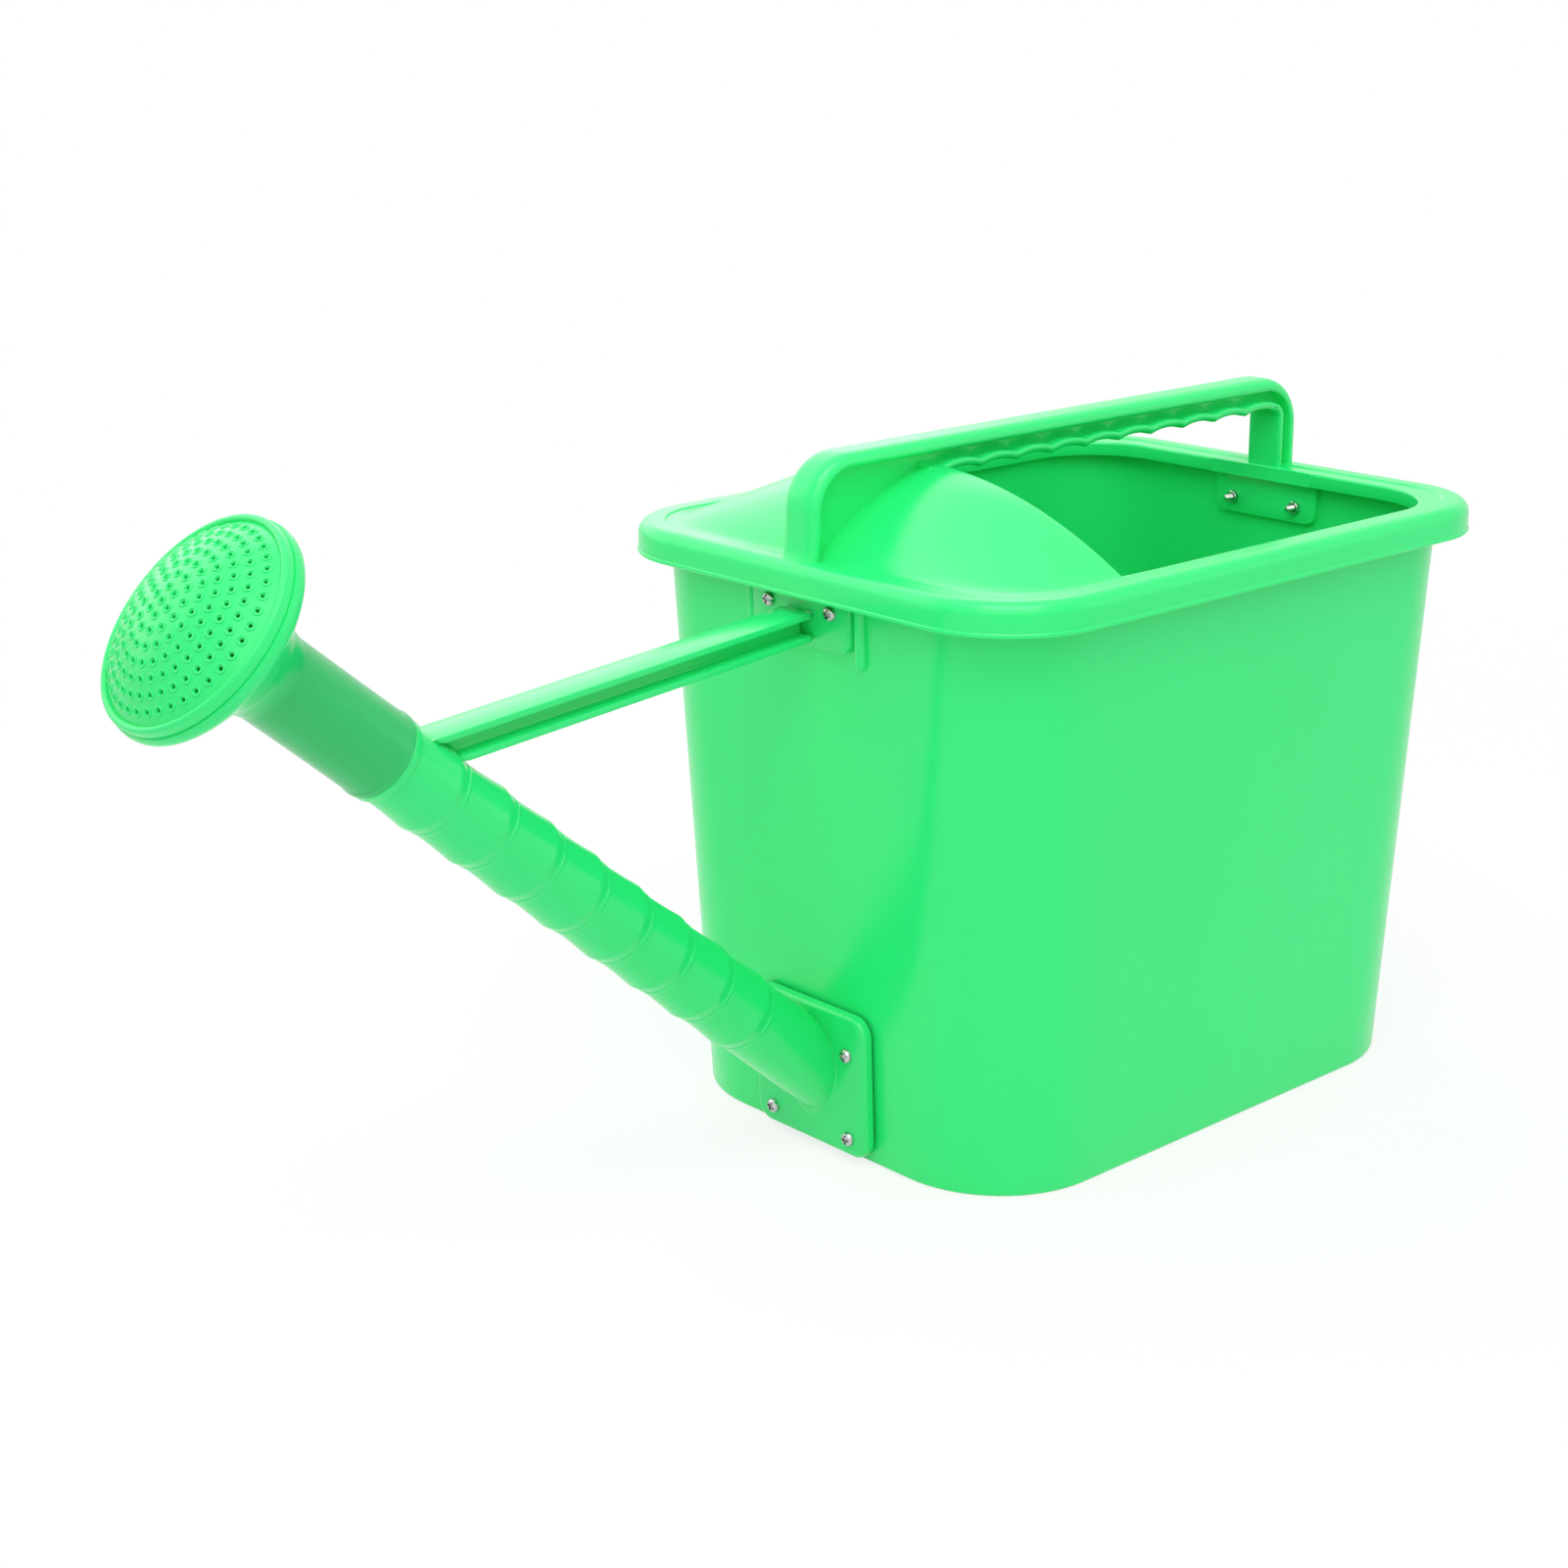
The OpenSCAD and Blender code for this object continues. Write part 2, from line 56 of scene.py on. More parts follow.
coverHigh = farCorner("handle_cover")
tubHeight = farCorner("tub")[2]
spoutAxis = next(Vector(j["axis"]) for j in frame["joints"] if j["name"] == "rose_pull").normalized()
draft = math.radians(1.78)  # lean of the four walls
baseHalfX = 136.0
baseHalfY = 101.0
spoutRootHeight = 33.0


# small mesh helpers, all in millimetres
def newMesh(name, points, faces, material):
    mesh = bpy.data.meshes.new(name)
    mesh.from_pydata([(x * mm, y * mm, z * mm) for x, y, z in points], [], faces)
    mesh.materials.append(material)
    obj = bpy.data.objects.new(name, mesh)
    bpy.context.scene.collection.objects.link(obj)
    return obj


def mergedMesh(obj, merge, outward=True):
    bm = bmesh.new()
    bm.from_mesh(obj.data)
    bmesh.ops.remove_doubles(bm, verts=bm.verts, dist=merge)
    bmesh.ops.dissolve_degenerate(bm, dist=merge / 2, edges=bm.edges)
    if outward:
        bmesh.ops.recalc_face_normals(bm, faces=bm.faces)
    return bm


def tidyMesh(obj, angle=35, merge=0.00001, outward=True):
    # merges doubles, turns the faces outward and keeps edges over the angle crisp
    bm = mergedMesh(obj, merge, outward)
    limit = math.radians(angle)
    for face in bm.faces:
        face.smooth = True
    for edge in bm.edges:
        edge.smooth = len(edge.link_faces) == 2 and edge.calc_face_angle(0) < limit
    bm.to_mesh(obj.data)
    bm.free()
    return obj


def bakeModifiers(obj):
    graph = bpy.context.evaluated_depsgraph_get()
    mesh = bpy.data.meshes.new_from_object(obj.evaluated_get(graph))
    obj.modifiers.clear()
    obj.data = mesh
    return obj


def joinPieces(name, pieces):
    bm = bmesh.new()
    for piece in pieces:
        bm.from_mesh(piece.data)
    mesh = bpy.data.meshes.new(name)
    bm.to_mesh(mesh)
    bm.free()
    mesh.materials.append(pieces[0].data.materials[0])
    for piece in pieces:
        bpy.data.objects.remove(piece)
    obj = bpy.data.objects.new(name, mesh)
    bpy.context.scene.collection.objects.link(obj)
    return obj


def cutWith(obj, cutter):
    cut = obj.modifiers.new("cut", "BOOLEAN")
    cut.operation = "DIFFERENCE"
    cut.solver = "EXACT"
    cut.object = cutter
    bakeModifiers(obj)
    bpy.data.objects.remove(cutter)
    return obj


def gridFaces(rows, count, closed=True, offset=0):
    # faces between neighbouring rows of count points each
    faces = []
    for j in range(rows - 1):
        for k in range(count if closed else count - 1):
            a, b = offset + j * count + k, offset + j * count + (k + 1) % count
            faces.append((a, b, b + count, a + count))
    return faces


def loft(name, rings, material):
    # a solid through the rings, with a face over each end
    count = len(rings[0])
    faces = gridFaces(len(rings), count)
    faces.append(tuple(reversed(range(count))))
    faces.append(tuple(range((len(rings) - 1) * count, len(rings) * count)))
    return newMesh(name, [p for ring in rings for p in ring], faces, material)


def ringSolid(name, rings, material):
    # a solid through the rings whose last ring joins the first
    n, last = len(rings[0]), (len(rings) - 1) * len(rings[0])
    faces = gridFaces(len(rings), n)
    faces += [(last + k, last + (k + 1) % n, (k + 1) % n, k) for k in range(n)]
    return newMesh(name, [p for ring in rings for p in ring], faces, material)


def circle(r, n, start=0.0):
    turns = [start + 2 * math.pi * k / n for k in range(n)]
    return [(r * math.cos(a), r * math.sin(a)) for a in turns]


def arc(cx, cy, r, fromDeg, toDeg, steps):
    turns = [math.radians(fromDeg + (toDeg - fromDeg) * k / steps) for k in range(steps + 1)]
    return [(cx + r * math.cos(a), cy + r * math.sin(a)) for a in turns]


def between(p, q, n):
    return [tuple(a + (b - a) * k / n for a, b in zip(p, q)) for k in range(1, n)]


def roundedOutline(halfX, halfY, r, cornerSteps=12, longSteps=12, shortSteps=10):
    cx, cy = halfX - r, halfY - r
    return (arc(cx, cy, r, 0, 90, cornerSteps) + between((cx, halfY), (-cx, halfY), longSteps)
            + arc(-cx, cy, r, 90, 180, cornerSteps) + between((-halfX, cy), (-halfX, -cy), shortSteps)
            + arc(-cx, -cy, r, 180, 270, cornerSteps) + between((-cx, -halfY), (cx, -halfY), longSteps)
            + arc(cx, -cy, r, 270, 360, cornerSteps) + between((halfX, -cy), (halfX, cy), shortSteps))


# frames on the two leaning end walls: x' points into the tub, z' up the wall
def onFront(x, y, z):
    return (-baseHalfX + x * math.cos(draft) - z * math.sin(draft), y, x * math.sin(draft) + z * math.cos(draft))


def onRear(x, y, z):
    px, py, pz = onFront(x, y, z)
    return (-px, py, pz)


spoutRoot = Vector((-baseHalfX - spoutRootHeight * math.tan(draft), 0, spoutRootHeight))
spoutUp = Vector((spoutAxis.z, 0, -spoutAxis.x))  # square to the axis, in the middle plane
spoutSide = Vector((0, 1, 0))


def onSpout(r, angle, s):
    p = spoutRoot + spoutAxis * s + spoutUp * (r * math.cos(angle)) + spoutSide * (r * math.sin(angle))
    return tuple(p)


def revolve(name, profile, material, segments):
    # profile points are (radius, distance along the spout's axis)
    rings = [[onSpout(r, 2 * math.pi * k / segments, s) for k in range(segments)] for r, s in profile]
    return ringSolid(name, rings, material)


def finishPiece(obj, body, slot, *nodes):
    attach(obj, body)
    if nodes:
        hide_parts(*nodes)
    return obj


# finishes
def addNode(tree, kind, **values):
    node = tree.nodes.new("ShaderNode" + kind)
    for key, value in values.items():
        if hasattr(node, key):
            setattr(node, key, value)
        else:
            node.inputs[key.replace("_", " ")].default_value = value
    return node


def connect(tree, *pairs):
    for source, target in pairs:
        tree.links.new(source, target)


def nodeMaterial(name):
    mat = bpy.data.materials.new(name)
    mat.use_nodes = True
    tree = mat.node_tree
    coords = addNode(tree, "TexCoord").outputs["Object"]
    return mat, tree, tree.nodes["Principled BSDF"], coords


def noise(tree, coords, scale, detail, roughness):
    texture = addNode(tree, "TexNoise", Scale=scale, Detail=detail, Roughness=roughness)
    connect(tree, (coords, texture.inputs["Vector"]))
    return texture.outputs["Fac"]


def tinted(tree, value, low, high, places=(0.0, 1.0)):
    tint = addNode(tree, "ValToRGB")
    for stop, place, colour in zip(tint.color_ramp.elements, places, (low, high)):
        stop.position = place
        stop.color = (*colour, 1)
    connect(tree, (value, tint.inputs["Fac"]))
    return tint.outputs["Color"]


def spread(tree, value, fromRange, toRange, kind="LINEAR"):
    node = addNode(tree, "MapRange", interpolation_type=kind)
    for label, number in zip(("From Min", "From Max", "To Min", "To Max"), (*fromRange, *toRange)):
        node.inputs[label].default_value = number
    connect(tree, (value, node.inputs["Value"]))
    return node.outputs["Result"]


def unevenSkin(tree, shader, height, strength, distance):
    bump = addNode(tree, "Bump", Strength=strength, Distance=distance)
    connect(tree, (height, bump.inputs["Height"]), (bump.outputs["Normal"], shader.inputs["Normal"]))


plastic = {
    "colour": (0.024, 0.83, 0.215),
    "deepColour": (0.018, 0.80, 0.197),
    "cloudPlaces": (0.3, 0.65),
    "cloud": (5.0, 2.0, 0.4),       # scale, detail and roughness of the patches of colour
    "flow": (38.0, 4.0, 0.6),       # the same of the patches of gloss
    "skin": (420.0, 2.0, 0.5),      # the same of the moulded skin
    "roughness": (0.21, 0.27),
    "peel": 0.02,                   # height of the fine unevenness of the moulded skin
    "ior": 1.49,
    "paintedShadeSpan": (0.262, 0.273, 0.325, 0.343),   # along the spout, where sleeve and spigot overlap: where the painted shade lies
    "coreReach": 0.4,
}
zinc = {
    "dark": (0.34, 0.35, 0.34),
    "light": (0.74, 0.75, 0.73),
    "mottle": (900.0, 3.0, 0.6),
    "roughness": (0.12, 0.26),
}
rubber = {
    "dark": (0.012, 0.012, 0.012),
    "light": (0.035, 0.035, 0.035),
    "grain": (600.0, 4.0, 0.6),
    "roughness": 0.72,
}


def paintedOverlapShade(tree, coords, colour, coreShade):
    # painted shade: the colour is darkened where sleeve and spigot overlap, standing in for less light coming through
    # the two walls
    along = addNode(tree, "VectorMath", operation="DOT_PRODUCT")
    along.inputs[1].default_value = spoutAxis
    start, reach = spoutRoot.dot(spoutAxis) * mm, plastic["coreReach"]
    core = addNode(tree, "ValToRGB")
    stops = core.color_ramp.elements
    for at, level in zip(plastic["paintedShadeSpan"], (1.0, coreShade, coreShade, 1.0)):
        stops.new(at / reach).color = (level, level, level, 1)
    for stop in (stops[0], stops[-1]):
        stop.color = (1, 1, 1, 1)
    dim = addNode(tree, "Mix", data_type="RGBA", blend_type="MULTIPLY")
    dim.inputs[0].default_value = 1.0
    place = spread(tree, along.outputs["Value"], (start, start + reach), (0.0, 1.0))
    connect(tree, (coords, along.inputs[0]), (place, core.inputs["Fac"]), (colour, dim.inputs[6]),
            (core.outputs["Color"], dim.inputs[7]))
    return dim.outputs[2]


def makePlastic(name, shade=1.0, coreShade=1.0):
    mat, tree, shader, coords = nodeMaterial(name)
    cloud, skin, flow = [noise(tree, coords, *plastic[word]) for word in ("cloud", "skin", "flow")]
    deep, light = [[c * shade for c in plastic[word]] for word in ("deepColour", "colour")]
    colour = tinted(tree, cloud, deep, light, plastic["cloudPlaces"])
    # painted shade along the overlap of sleeve and spigot
    if coreShade < 1:
        colour = paintedOverlapShade(tree, coords, colour, coreShade)
    gloss = spread(tree, flow, (0.3, 0.7), plastic["roughness"])
    connect(tree, (colour, shader.inputs["Base Color"]), (gloss, shader.inputs["Roughness"]))
    unevenSkin(tree, shader, skin, plastic["peel"], 0.0004)
    shader.inputs["IOR"].default_value = plastic["ior"]
    return mat


def makeZinc(name):
    mat, tree, shader, coords = nodeMaterial(name)
    mottle = noise(tree, coords, *zinc["mottle"])
    colour = tinted(tree, mottle, zinc["dark"], zinc["light"])
    gloss = spread(tree, mottle, (0.0, 1.0), zinc["roughness"])
    connect(tree, (colour, shader.inputs["Base Color"]), (gloss, shader.inputs["Roughness"]))
    unevenSkin(tree, shader, mottle, 0.15, 0.00005)
    shader.inputs["Metallic"].default_value = 1.0
    return mat


def makeRubber(name):
    mat, tree, shader, coords = nodeMaterial(name)
    grain = noise(tree, coords, *rubber["grain"])
    connect(tree, (tinted(tree, grain, rubber["dark"], rubber["light"]), shader.inputs["Base Color"]))
    unevenSkin(tree, shader, grain, 0.2, 0.0001)
    shader.inputs["Roughness"].default_value = rubber["roughness"]
    return mat


mintPlastic = makePlastic("mintPlastic")
# painted shade: the spout moulding gets a darker copy (0.92) of the same plastic
spoutPlastic = makePlastic("spoutPlastic", 0.92)
# painted shade: the sleeve's copy of the plastic is darker (0.96), and darker still (0.60) where it overlaps the
# spigot
sleevePlastic = makePlastic("sleevePlastic", 0.96, 0.60)
zincPlate = makeZinc("zincPlate")
gasketRubber = makeRubber("gasketRubber")
for node in frame["nodes"].values():
    slotName = next(s["material_slot"] for s in frame["record"]["subparts"] if s["node"] == node.name)
    finish = {"green_plastic": mintPlastic, "zinc_steel": zincPlate, "gasket_rubber": gasketRubber}[slotName]
    node.data.materials.clear()
    node.data.materials.append(finish)
print("finishes made")


# floor, backdrop, lights and camera
studio = {
    "floorHalf": 6.0,
    "floorColour": (0.93, 0.93, 0.93),
    "whiteNear": 0.80,     # how white the floor looks beside the object, and from where it is all white
    "whiteFrom": (0.30, 1.0),
    "world": 0.55,
    "lamps": [  # name, place, aim, size, power
        ("topLamp", (-0.1, 0.1, 2.3), (-0.05, 0, 0.2), (2.6, 2.6), 8.0),
        ("frontLamp", (-1.35, -1.45, 2.25), (-0.05, 0, 0.15), (3.0, 2.8), 28.5),
        ("sideLamp", (1.3, -1.5, 0.9), (0.0, 0, 0.15), (1.0, 1.0), 1.5),
        ("backLamp", (0.0, 2.5, 1.75), (-0.05, 0, 0.25), (5.8, 2.4), 47.0),
        ("fillLamp", (-0.28, -0.32, 0.95), (0.1, 0.05, 0.2), (0.6, 0.6), 2.0),
    ],
}


def seenOrMirrored(tree):
    path = addNode(tree, "LightPath")
    seen = addNode(tree, "Math", operation="MAXIMUM")
    connect(tree, (path.outputs["Is Camera Ray"], seen.inputs[0]), (path.outputs["Is Glossy Ray"], seen.inputs[1]))
    return path, seen.outputs[0]


def whiteWhenSeen(tree, shader, coords, near, reach):
    # the camera, and what mirrors it, see the plain white of a light tent; a soft shadow stays near
    path, seen = seenOrMirrored(tree)
    seenToo = addNode(tree, "Math", operation="MAXIMUM")
    level = addNode(tree, "Math", operation="MULTIPLY")
    away = addNode(tree, "VectorMath", operation="LENGTH")
    share = spread(tree, away.outputs["Value"], reach, (near, 1.0), "SMOOTHSTEP")
    glow = addNode(tree, "Emission", Strength=1.0)
    mix = addNode(tree, "MixShader")
    connect(tree, (seen, seenToo.inputs[0]), (path.outputs["Is Transmission Ray"], seenToo.inputs[1]),
            (coords, away.inputs[0]),
            (seenToo.outputs[0], level.inputs[0]), (share, level.inputs[1]),
            (level.outputs[0], mix.inputs["Fac"]), (shader.outputs[0], mix.inputs[1]),
            (glow.outputs[0], mix.inputs[2]), (mix.outputs[0], tree.nodes["Material Output"].inputs["Surface"]))


def makeFloor():
    half = studio["floorHalf"] / mm
    corners = [(x * half, y * half, 0) for x, y in ((-1, -1), (1, -1), (1, 1), (-1, 1))]
    mat, tree, shader, coords = nodeMaterial("floorWhite")
    floor = newMesh("floor", corners, [(0, 1, 2, 3)], mat)
    shader.inputs["Base Color"].default_value = studio["floorColour"] + (1,)
    shader.inputs["Roughness"].default_value = 0.9
    shader.inputs["Specular IOR Level"].default_value = 0.1
    whiteWhenSeen(tree, shader, coords, studio["whiteNear"], studio["whiteFrom"])


def makeWorld():
    world = bpy.data.worlds.new("studio")
    bpy.context.scene.world = world
    world.use_nodes = True
    tree = world.node_tree
    tree.nodes.clear()
    soft = addNode(tree, "Background", Color=(1, 1, 1, 1), Strength=studio["world"])
    white = addNode(tree, "Background", Color=(1, 1, 1, 1), Strength=1.0)
    output = addNode(tree, "OutputWorld")
    mix = addNode(tree, "MixShader")
    connect(tree, (seenOrMirrored(tree)[1], mix.inputs["Fac"]), (soft.outputs[0], mix.inputs[1]),
            (white.outputs[0], mix.inputs[2]), (mix.outputs[0], output.inputs["Surface"]))


def makeLamps():
    for name, place, aim, size, power in studio["lamps"]:
        light = bpy.data.lights.new(name, "AREA")
        light.shape = "RECTANGLE"
        light.size, light.size_y = size
        light.energy = power
        lamp = bpy.data.objects.new(name, light)
        lamp.location = place
        lamp.visible_camera = False
        lamp.rotation_euler = (Vector(place) - Vector(aim)).to_track_quat("Z", "Y").to_euler()
        bpy.context.scene.collection.objects.link(lamp)


view = {"sensor": 36.0, "lens": 62.93, "place": (-0.8402, -0.7660, 0.4815), "right": (0.7439, -0.6682, -0.0080),
        "back": (-0.6359, -0.7115, 0.2992)}


def makeCamera():
    data = bpy.data.cameras.new("camera")
    data.sensor_width = view["sensor"]
    data.lens = view["lens"]
    data.clip_end = 50
    camera = bpy.data.objects.new("camera", data)
    back = Vector(view["back"]).normalized()
    up = back.cross(Vector(view["right"]).normalized()).normalized()
    right = up.cross(back).normalized()
    camera.matrix_world = Matrix.Translation(view["place"]) @ Matrix((right, up, back)).transposed().to_4x4()
    bpy.context.scene.collection.objects.link(camera)
    bpy.context.scene.camera = camera


makeFloor()
makeWorld()
makeLamps()
makeCamera()
bpy.context.scene.view_settings.view_transform = "Standard"
print("studio made")


# helpers for swept and revolved shapes
def smoothPath(points, steps=4):
    # a smooth curve through all the points
    path = []
    last = len(points) - 1
    for k in range(last):
        rows = list(zip(points[max(k - 1, 0)], points[k], points[k + 1], points[min(k + 2, last)]))
        for j in range(steps):
            t = j / steps
            path.append(tuple(0.5 * (2 * b + (c - a) * t + (2 * a - 5 * b + 4 * c - d) * t * t
                                     + (3 * b - a - 3 * c + d) * t ** 3) for a, b, c, d in rows))
    path.append(tuple(points[last]))
    return path


def sweepAlong(name, path, section, material, facing=1):
    # path lies in the middle plane as (x, z); section points are (across, depth behind the path)
    rings = []
    for k, (x, z) in enumerate(path):
        ax, az = path[max(k - 1, 0)]
        bx, bz = path[min(k + 1, len(path) - 1)]
        length = math.hypot(bx - ax, bz - az)
        nx, nz = -(bz - az) / length * facing, (bx - ax) / length * facing
        rings.append([(x - nx * depth, y, z - nz * depth) for y, depth in section])
    return loft(name, rings, material)


def mirrored(half):
    # closes a half section given from the middle outwards
    return half + [(-y, depth) for y, depth in reversed(half) if abs(y) > 1e-6]


def prism(name, outlinePoints, halfWidth, material):
    # outlinePoints lie in the middle plane as (x, z)
    near = [(x, -halfWidth, z) for x, z in outlinePoints]
    far = [(x, halfWidth, z) for x, z in outlinePoints]
    return loft(name, [near, far], material)


def placedPlate(name, place, levels, halfWidth, low, high, r, material):
    # a plate on an end wall; levels are (distance into the tub, inset of the edge)
    middle, half = (low + high) / 2, (high - low) / 2
    rings = []
    for depth, inset in levels:
        shape = roundedOutline(half - inset, halfWidth - inset, r - inset, 8, 3, 3)
        rings.append([place(depth, y, middle + z) for z, y in shape])
    return loft(name, rings, material)


def rod(name, start, end, r, material, segments=48):
    start, end = Vector(start), Vector(end)
    along = (end - start).normalized()
    sideways = along.orthogonal().normalized()
    over = along.cross(sideways)
    rings = [[tuple(p + sideways * a + over * b) for a, b in circle(r, segments)] for p in (start, end)]
    return loft(name, rings, material)


def moveMesh(obj, place):
    for vertex in obj.data.vertices:
        x, y, z = vertex.co
        vertex.co = [v * mm for v in place(x / mm, y / mm, z / mm)]
    return obj


# node group helpers: sockets or plain numbers go in, a socket comes out
def newGroup(name, **numbers):
    group = bpy.data.node_groups.new(name, "GeometryNodeTree")
    group.interface.new_socket("Geometry", in_out="INPUT", socket_type="NodeSocketGeometry")
    group.interface.new_socket("Geometry", in_out="OUTPUT", socket_type="NodeSocketGeometry")
    for label, value in numbers.items():
        kind = "NodeSocketInt" if isinstance(value, int) else "NodeSocketFloat"
        group.interface.new_socket(label, in_out="INPUT", socket_type=kind)
    group.interface.new_socket("material", in_out="INPUT", socket_type="NodeSocketMaterial")
    entry = group.nodes.new("NodeGroupInput").outputs
    given = {label: numberSocket(entry[label]) for label in (*numbers, "Geometry", "material")}
    return group, SimpleNamespace(**given)


def plug(value, socket):
    if isinstance(value, numberSocket):
        value = value.socket
    if isinstance(value, bpy.types.NodeSocket):
        socket.id_data.links.new(value, socket)
    else:
        socket.default_value = value


def calc(group, operation, *values):
    node = group.nodes.new("ShaderNodeMath")
    node.operation = operation
    for value, socket in zip(values, node.inputs):
        plug(value, socket)
    return numberSocket(node.outputs[0])


class numberSocket:
    # a number inside a node group, written with the usual signs
    def __init__(self, socket):
        self.socket = socket

    def __add__(self, other):
        return self.to("ADD", other)

    def __sub__(self, other):
        return self.to("SUBTRACT", other)

    def __rsub__(self, other):
        return calc(self.socket.id_data, "SUBTRACT", other, self)

    def __mul__(self, other):
        return self.to("MULTIPLY", other)

    def __truediv__(self, other):
        return self.to("DIVIDE", other)

    def __mod__(self, other):
        return self.to("FLOORED_MODULO", other)

    def to(self, operation, *others):
        return calc(self.socket.id_data, operation, self, *others)


def rampUp(group, value, low, high, kind="LINEAR"):
    # 0 below low, 1 above high
    return numberSocket(groupNode(group, "ShaderNodeMapRange", 0, {"interpolation_type": kind}, Value=value,
                              From_Min=low, From_Max=high))


def vector(group, x, y, z):
    return groupNode(group, "ShaderNodeCombineXYZ", X=x, Y=y, Z=z)


def groupNode(group, kind, output=0, setup=None, **values):
    node = group.nodes.new(kind)
    for key, value in (setup or {}).items():
        setattr(node, key, value)
    for key, value in values.items():
        plug(value, node.inputs[key.replace("_", " ")])
    return node.outputs[output]


def closeGroup(group, geometry, material):
    solid = groupNode(group, "GeometryNodeRealizeInstances", Geometry=geometry)
    dressed = groupNode(group, "GeometryNodeSetMaterial", Geometry=solid, Material=material)
    plug(dressed, group.nodes.new("NodeGroupOutput").inputs["Geometry"])


def runGroup(obj, group, material, numbers):
    modifier = obj.modifiers.new(group.name, "NODES")
    modifier.node_group = group
    for item in group.interface.items_tree:
        if item.in_out == "INPUT" and item.name in numbers:
            modifier[item.identifier] = numbers[item.name]
        if item.in_out == "INPUT" and item.name == "material":
            modifier[item.identifier] = material
    bakeModifiers(obj)
    obj.data.materials.clear()
    obj.data.materials.append(material)
    for face in obj.data.polygons:
        face.material_index = 0
    return obj


# the tub: tapered walls, rolled foot, bead under the cover and a shallow recess below
tub = {"wall": 2.5, "floor": 3.0, "footR": 2.0, "baseCornerR": 50.0, "topCornerR": 42.0, "beadOut": 2.4,
       "beadHigh": 3.0, "recessIn": 13.0, "recessDeep": 1.2, "guideR": 2.6, "guideY": 30.9, "guideLow": 36.5,
       "wayR": 13.4, "screwR": 1.7, "cornerSteps": 18}
flangePlaces = {"halfY": 22.7, "low": 10.9, "high": 47.6}
tabPlaces = {"halfY": 17.5, "drop": 15.5}
tabHigh = tubHeight - tabPlaces["drop"]


def bothSides(places):
    return -places["halfY"], places["halfY"]


def tubRing(z, grow):
    share = z / tubHeight
    r = tub["baseCornerR"] + (tub["topCornerR"] - tub["baseCornerR"]) * share
    lean = z * math.tan(draft)
    halfX, halfY = baseHalfX + lean + grow, baseHalfY + lean + grow
    shape = roundedOutline(halfX, halfY, max(r + grow, 4), tub["cornerSteps"], 24, 16)
    return [(x, y, z) for x, y in shape]


def makeTub():
    r, wall, floor = tub["footR"], tub["wall"], tub["floor"]
    deep, edge = tub["recessDeep"], tub["recessIn"]
    foot = (0, 0.4, 0.8, 1.2, math.pi / 2)
    top, inner, bead = tubHeight, r + 1.5, tub["beadOut"]
    beadLow = top - tub["beadHigh"]
    levels = [(deep, -edge - 3), (deep * 0.8, -edge - 1.4), (deep * 0.2, -edge - 0.4), (0, -edge + 0.4)]
    levels += [(r - r * math.cos(a), -r + r * math.sin(a)) for a in foot]
    levels += [(top * k / 8, 0) for k in range(1, 8)]
    levels += [(beadLow - bead / 2, 0), (beadLow, bead), (top - 0.5, bead), (top, bead - 0.5), (top, 0.4 - wall),
               (top - 0.4, -wall)]
    levels += [(top * k / 8, -wall) for k in range(7, 0, -1)]
    levels += [(floor + inner - inner * math.sin(a), -wall - inner + inner * math.cos(a)) for a in foot]
    rings = [tubRing(z, grow) for z, grow in levels]
    obj = loft("tubShell", rings, mintPlastic)
    cutWith(obj, rod("way", spoutRoot - spoutAxis * 40, spoutRoot + spoutAxis * 30, tub["wayR"], mintPlastic))
    spots = [(onFront, y, z) for y in bothSides(flangePlaces) for z in (flangePlaces["low"], flangePlaces["high"])]
    spots += [(place, y, tabHigh) for place in (onFront, onRear) for y in bothSides(tabPlaces)]
    for place, y, z in spots:
        cutWith(obj, rod("hole", place(-6, y, z), place(8, y, z), tub["screwR"], mintPlastic, 24))
    tidyMesh(obj)
    guides = []
    low, high, radius = tubHeight - tub["guideLow"], tubHeight - 9, tub["guideR"]
    for side in (-1, 1):
        stations = [(low + radius - radius * math.cos(a), radius * math.sin(a)) for a in (0.15, 0.5, 0.85, 1.2, 1.57)]
        stations += [(low + (high - low) * k / 6, radius) for k in range(1, 7)]
        rings = [[onFront(a - 0.4, side * tub["guideY"] + b, z) for a, b in circle(q, 24)] for z, q in stations]
        guides.append(tidyMesh(loft("guide", rings, mintPlastic)))
    return finishPiece(joinPieces("tubShell", [obj] + guides), "can", "green_plastic", "tub")


makeTub()
print("tub made")

# the cover: rolled rim with a beaded skirt, splash guard, filling opening, ledge and handle
cover = {"thick": 2.5, "skirtLow": 13.0, "topUp": 2.5, "rollR": 5.5, "cornerR": 44.0, "bead": 0.45, "band": 14.0,
         "stepAt": 11.4, "stepDeep": 0.6, "guardRise": 29.0, "guardPower": 1.6, "guardLong": 76.0, "soften": 1.0,
         "openHalfY": 102.5, "openRearX": 133.9, "openCornerR": 36.0, "lipR": 1.2, "lipLow": 241.2,
         "cornerSteps": 14, "tabHalfY": 28.0, "tabThick": 3.0, "frontTabLow": 35.5, "rearTabLow": 22.5}
coverTop = tubHeight + cover["topUp"]
skirtX, skirtY = coverHigh[0], coverHigh[1]
archX = cover["guardLong"] - skirtX
guardFrontX = cover["band"] - skirtX


def guardHeight(x, y):
    r, half = cover["cornerR"] - cover["band"], skirtY - cover["band"]
    short = max(0.0, guardFrontX + r - x)
    half = half - r + math.sqrt(max(0.0, r * r - short * short))
    u = min(1.0, max(0.0, (x - guardFrontX) / (archX - guardFrontX)))
    v = min(1.0, abs(y) / max(1.0, half))
    rise = cover["guardRise"] * (1 - (1 - u) ** cover["guardPower"]) * (1 - v * v)
    soft = cover["soften"]
    fade = math.exp(-(x - archX) / 9) if x > archX else 1.0
    return (math.sqrt(rise * rise + soft * soft) - soft) * (1 + soft / cover["guardRise"]) * fade


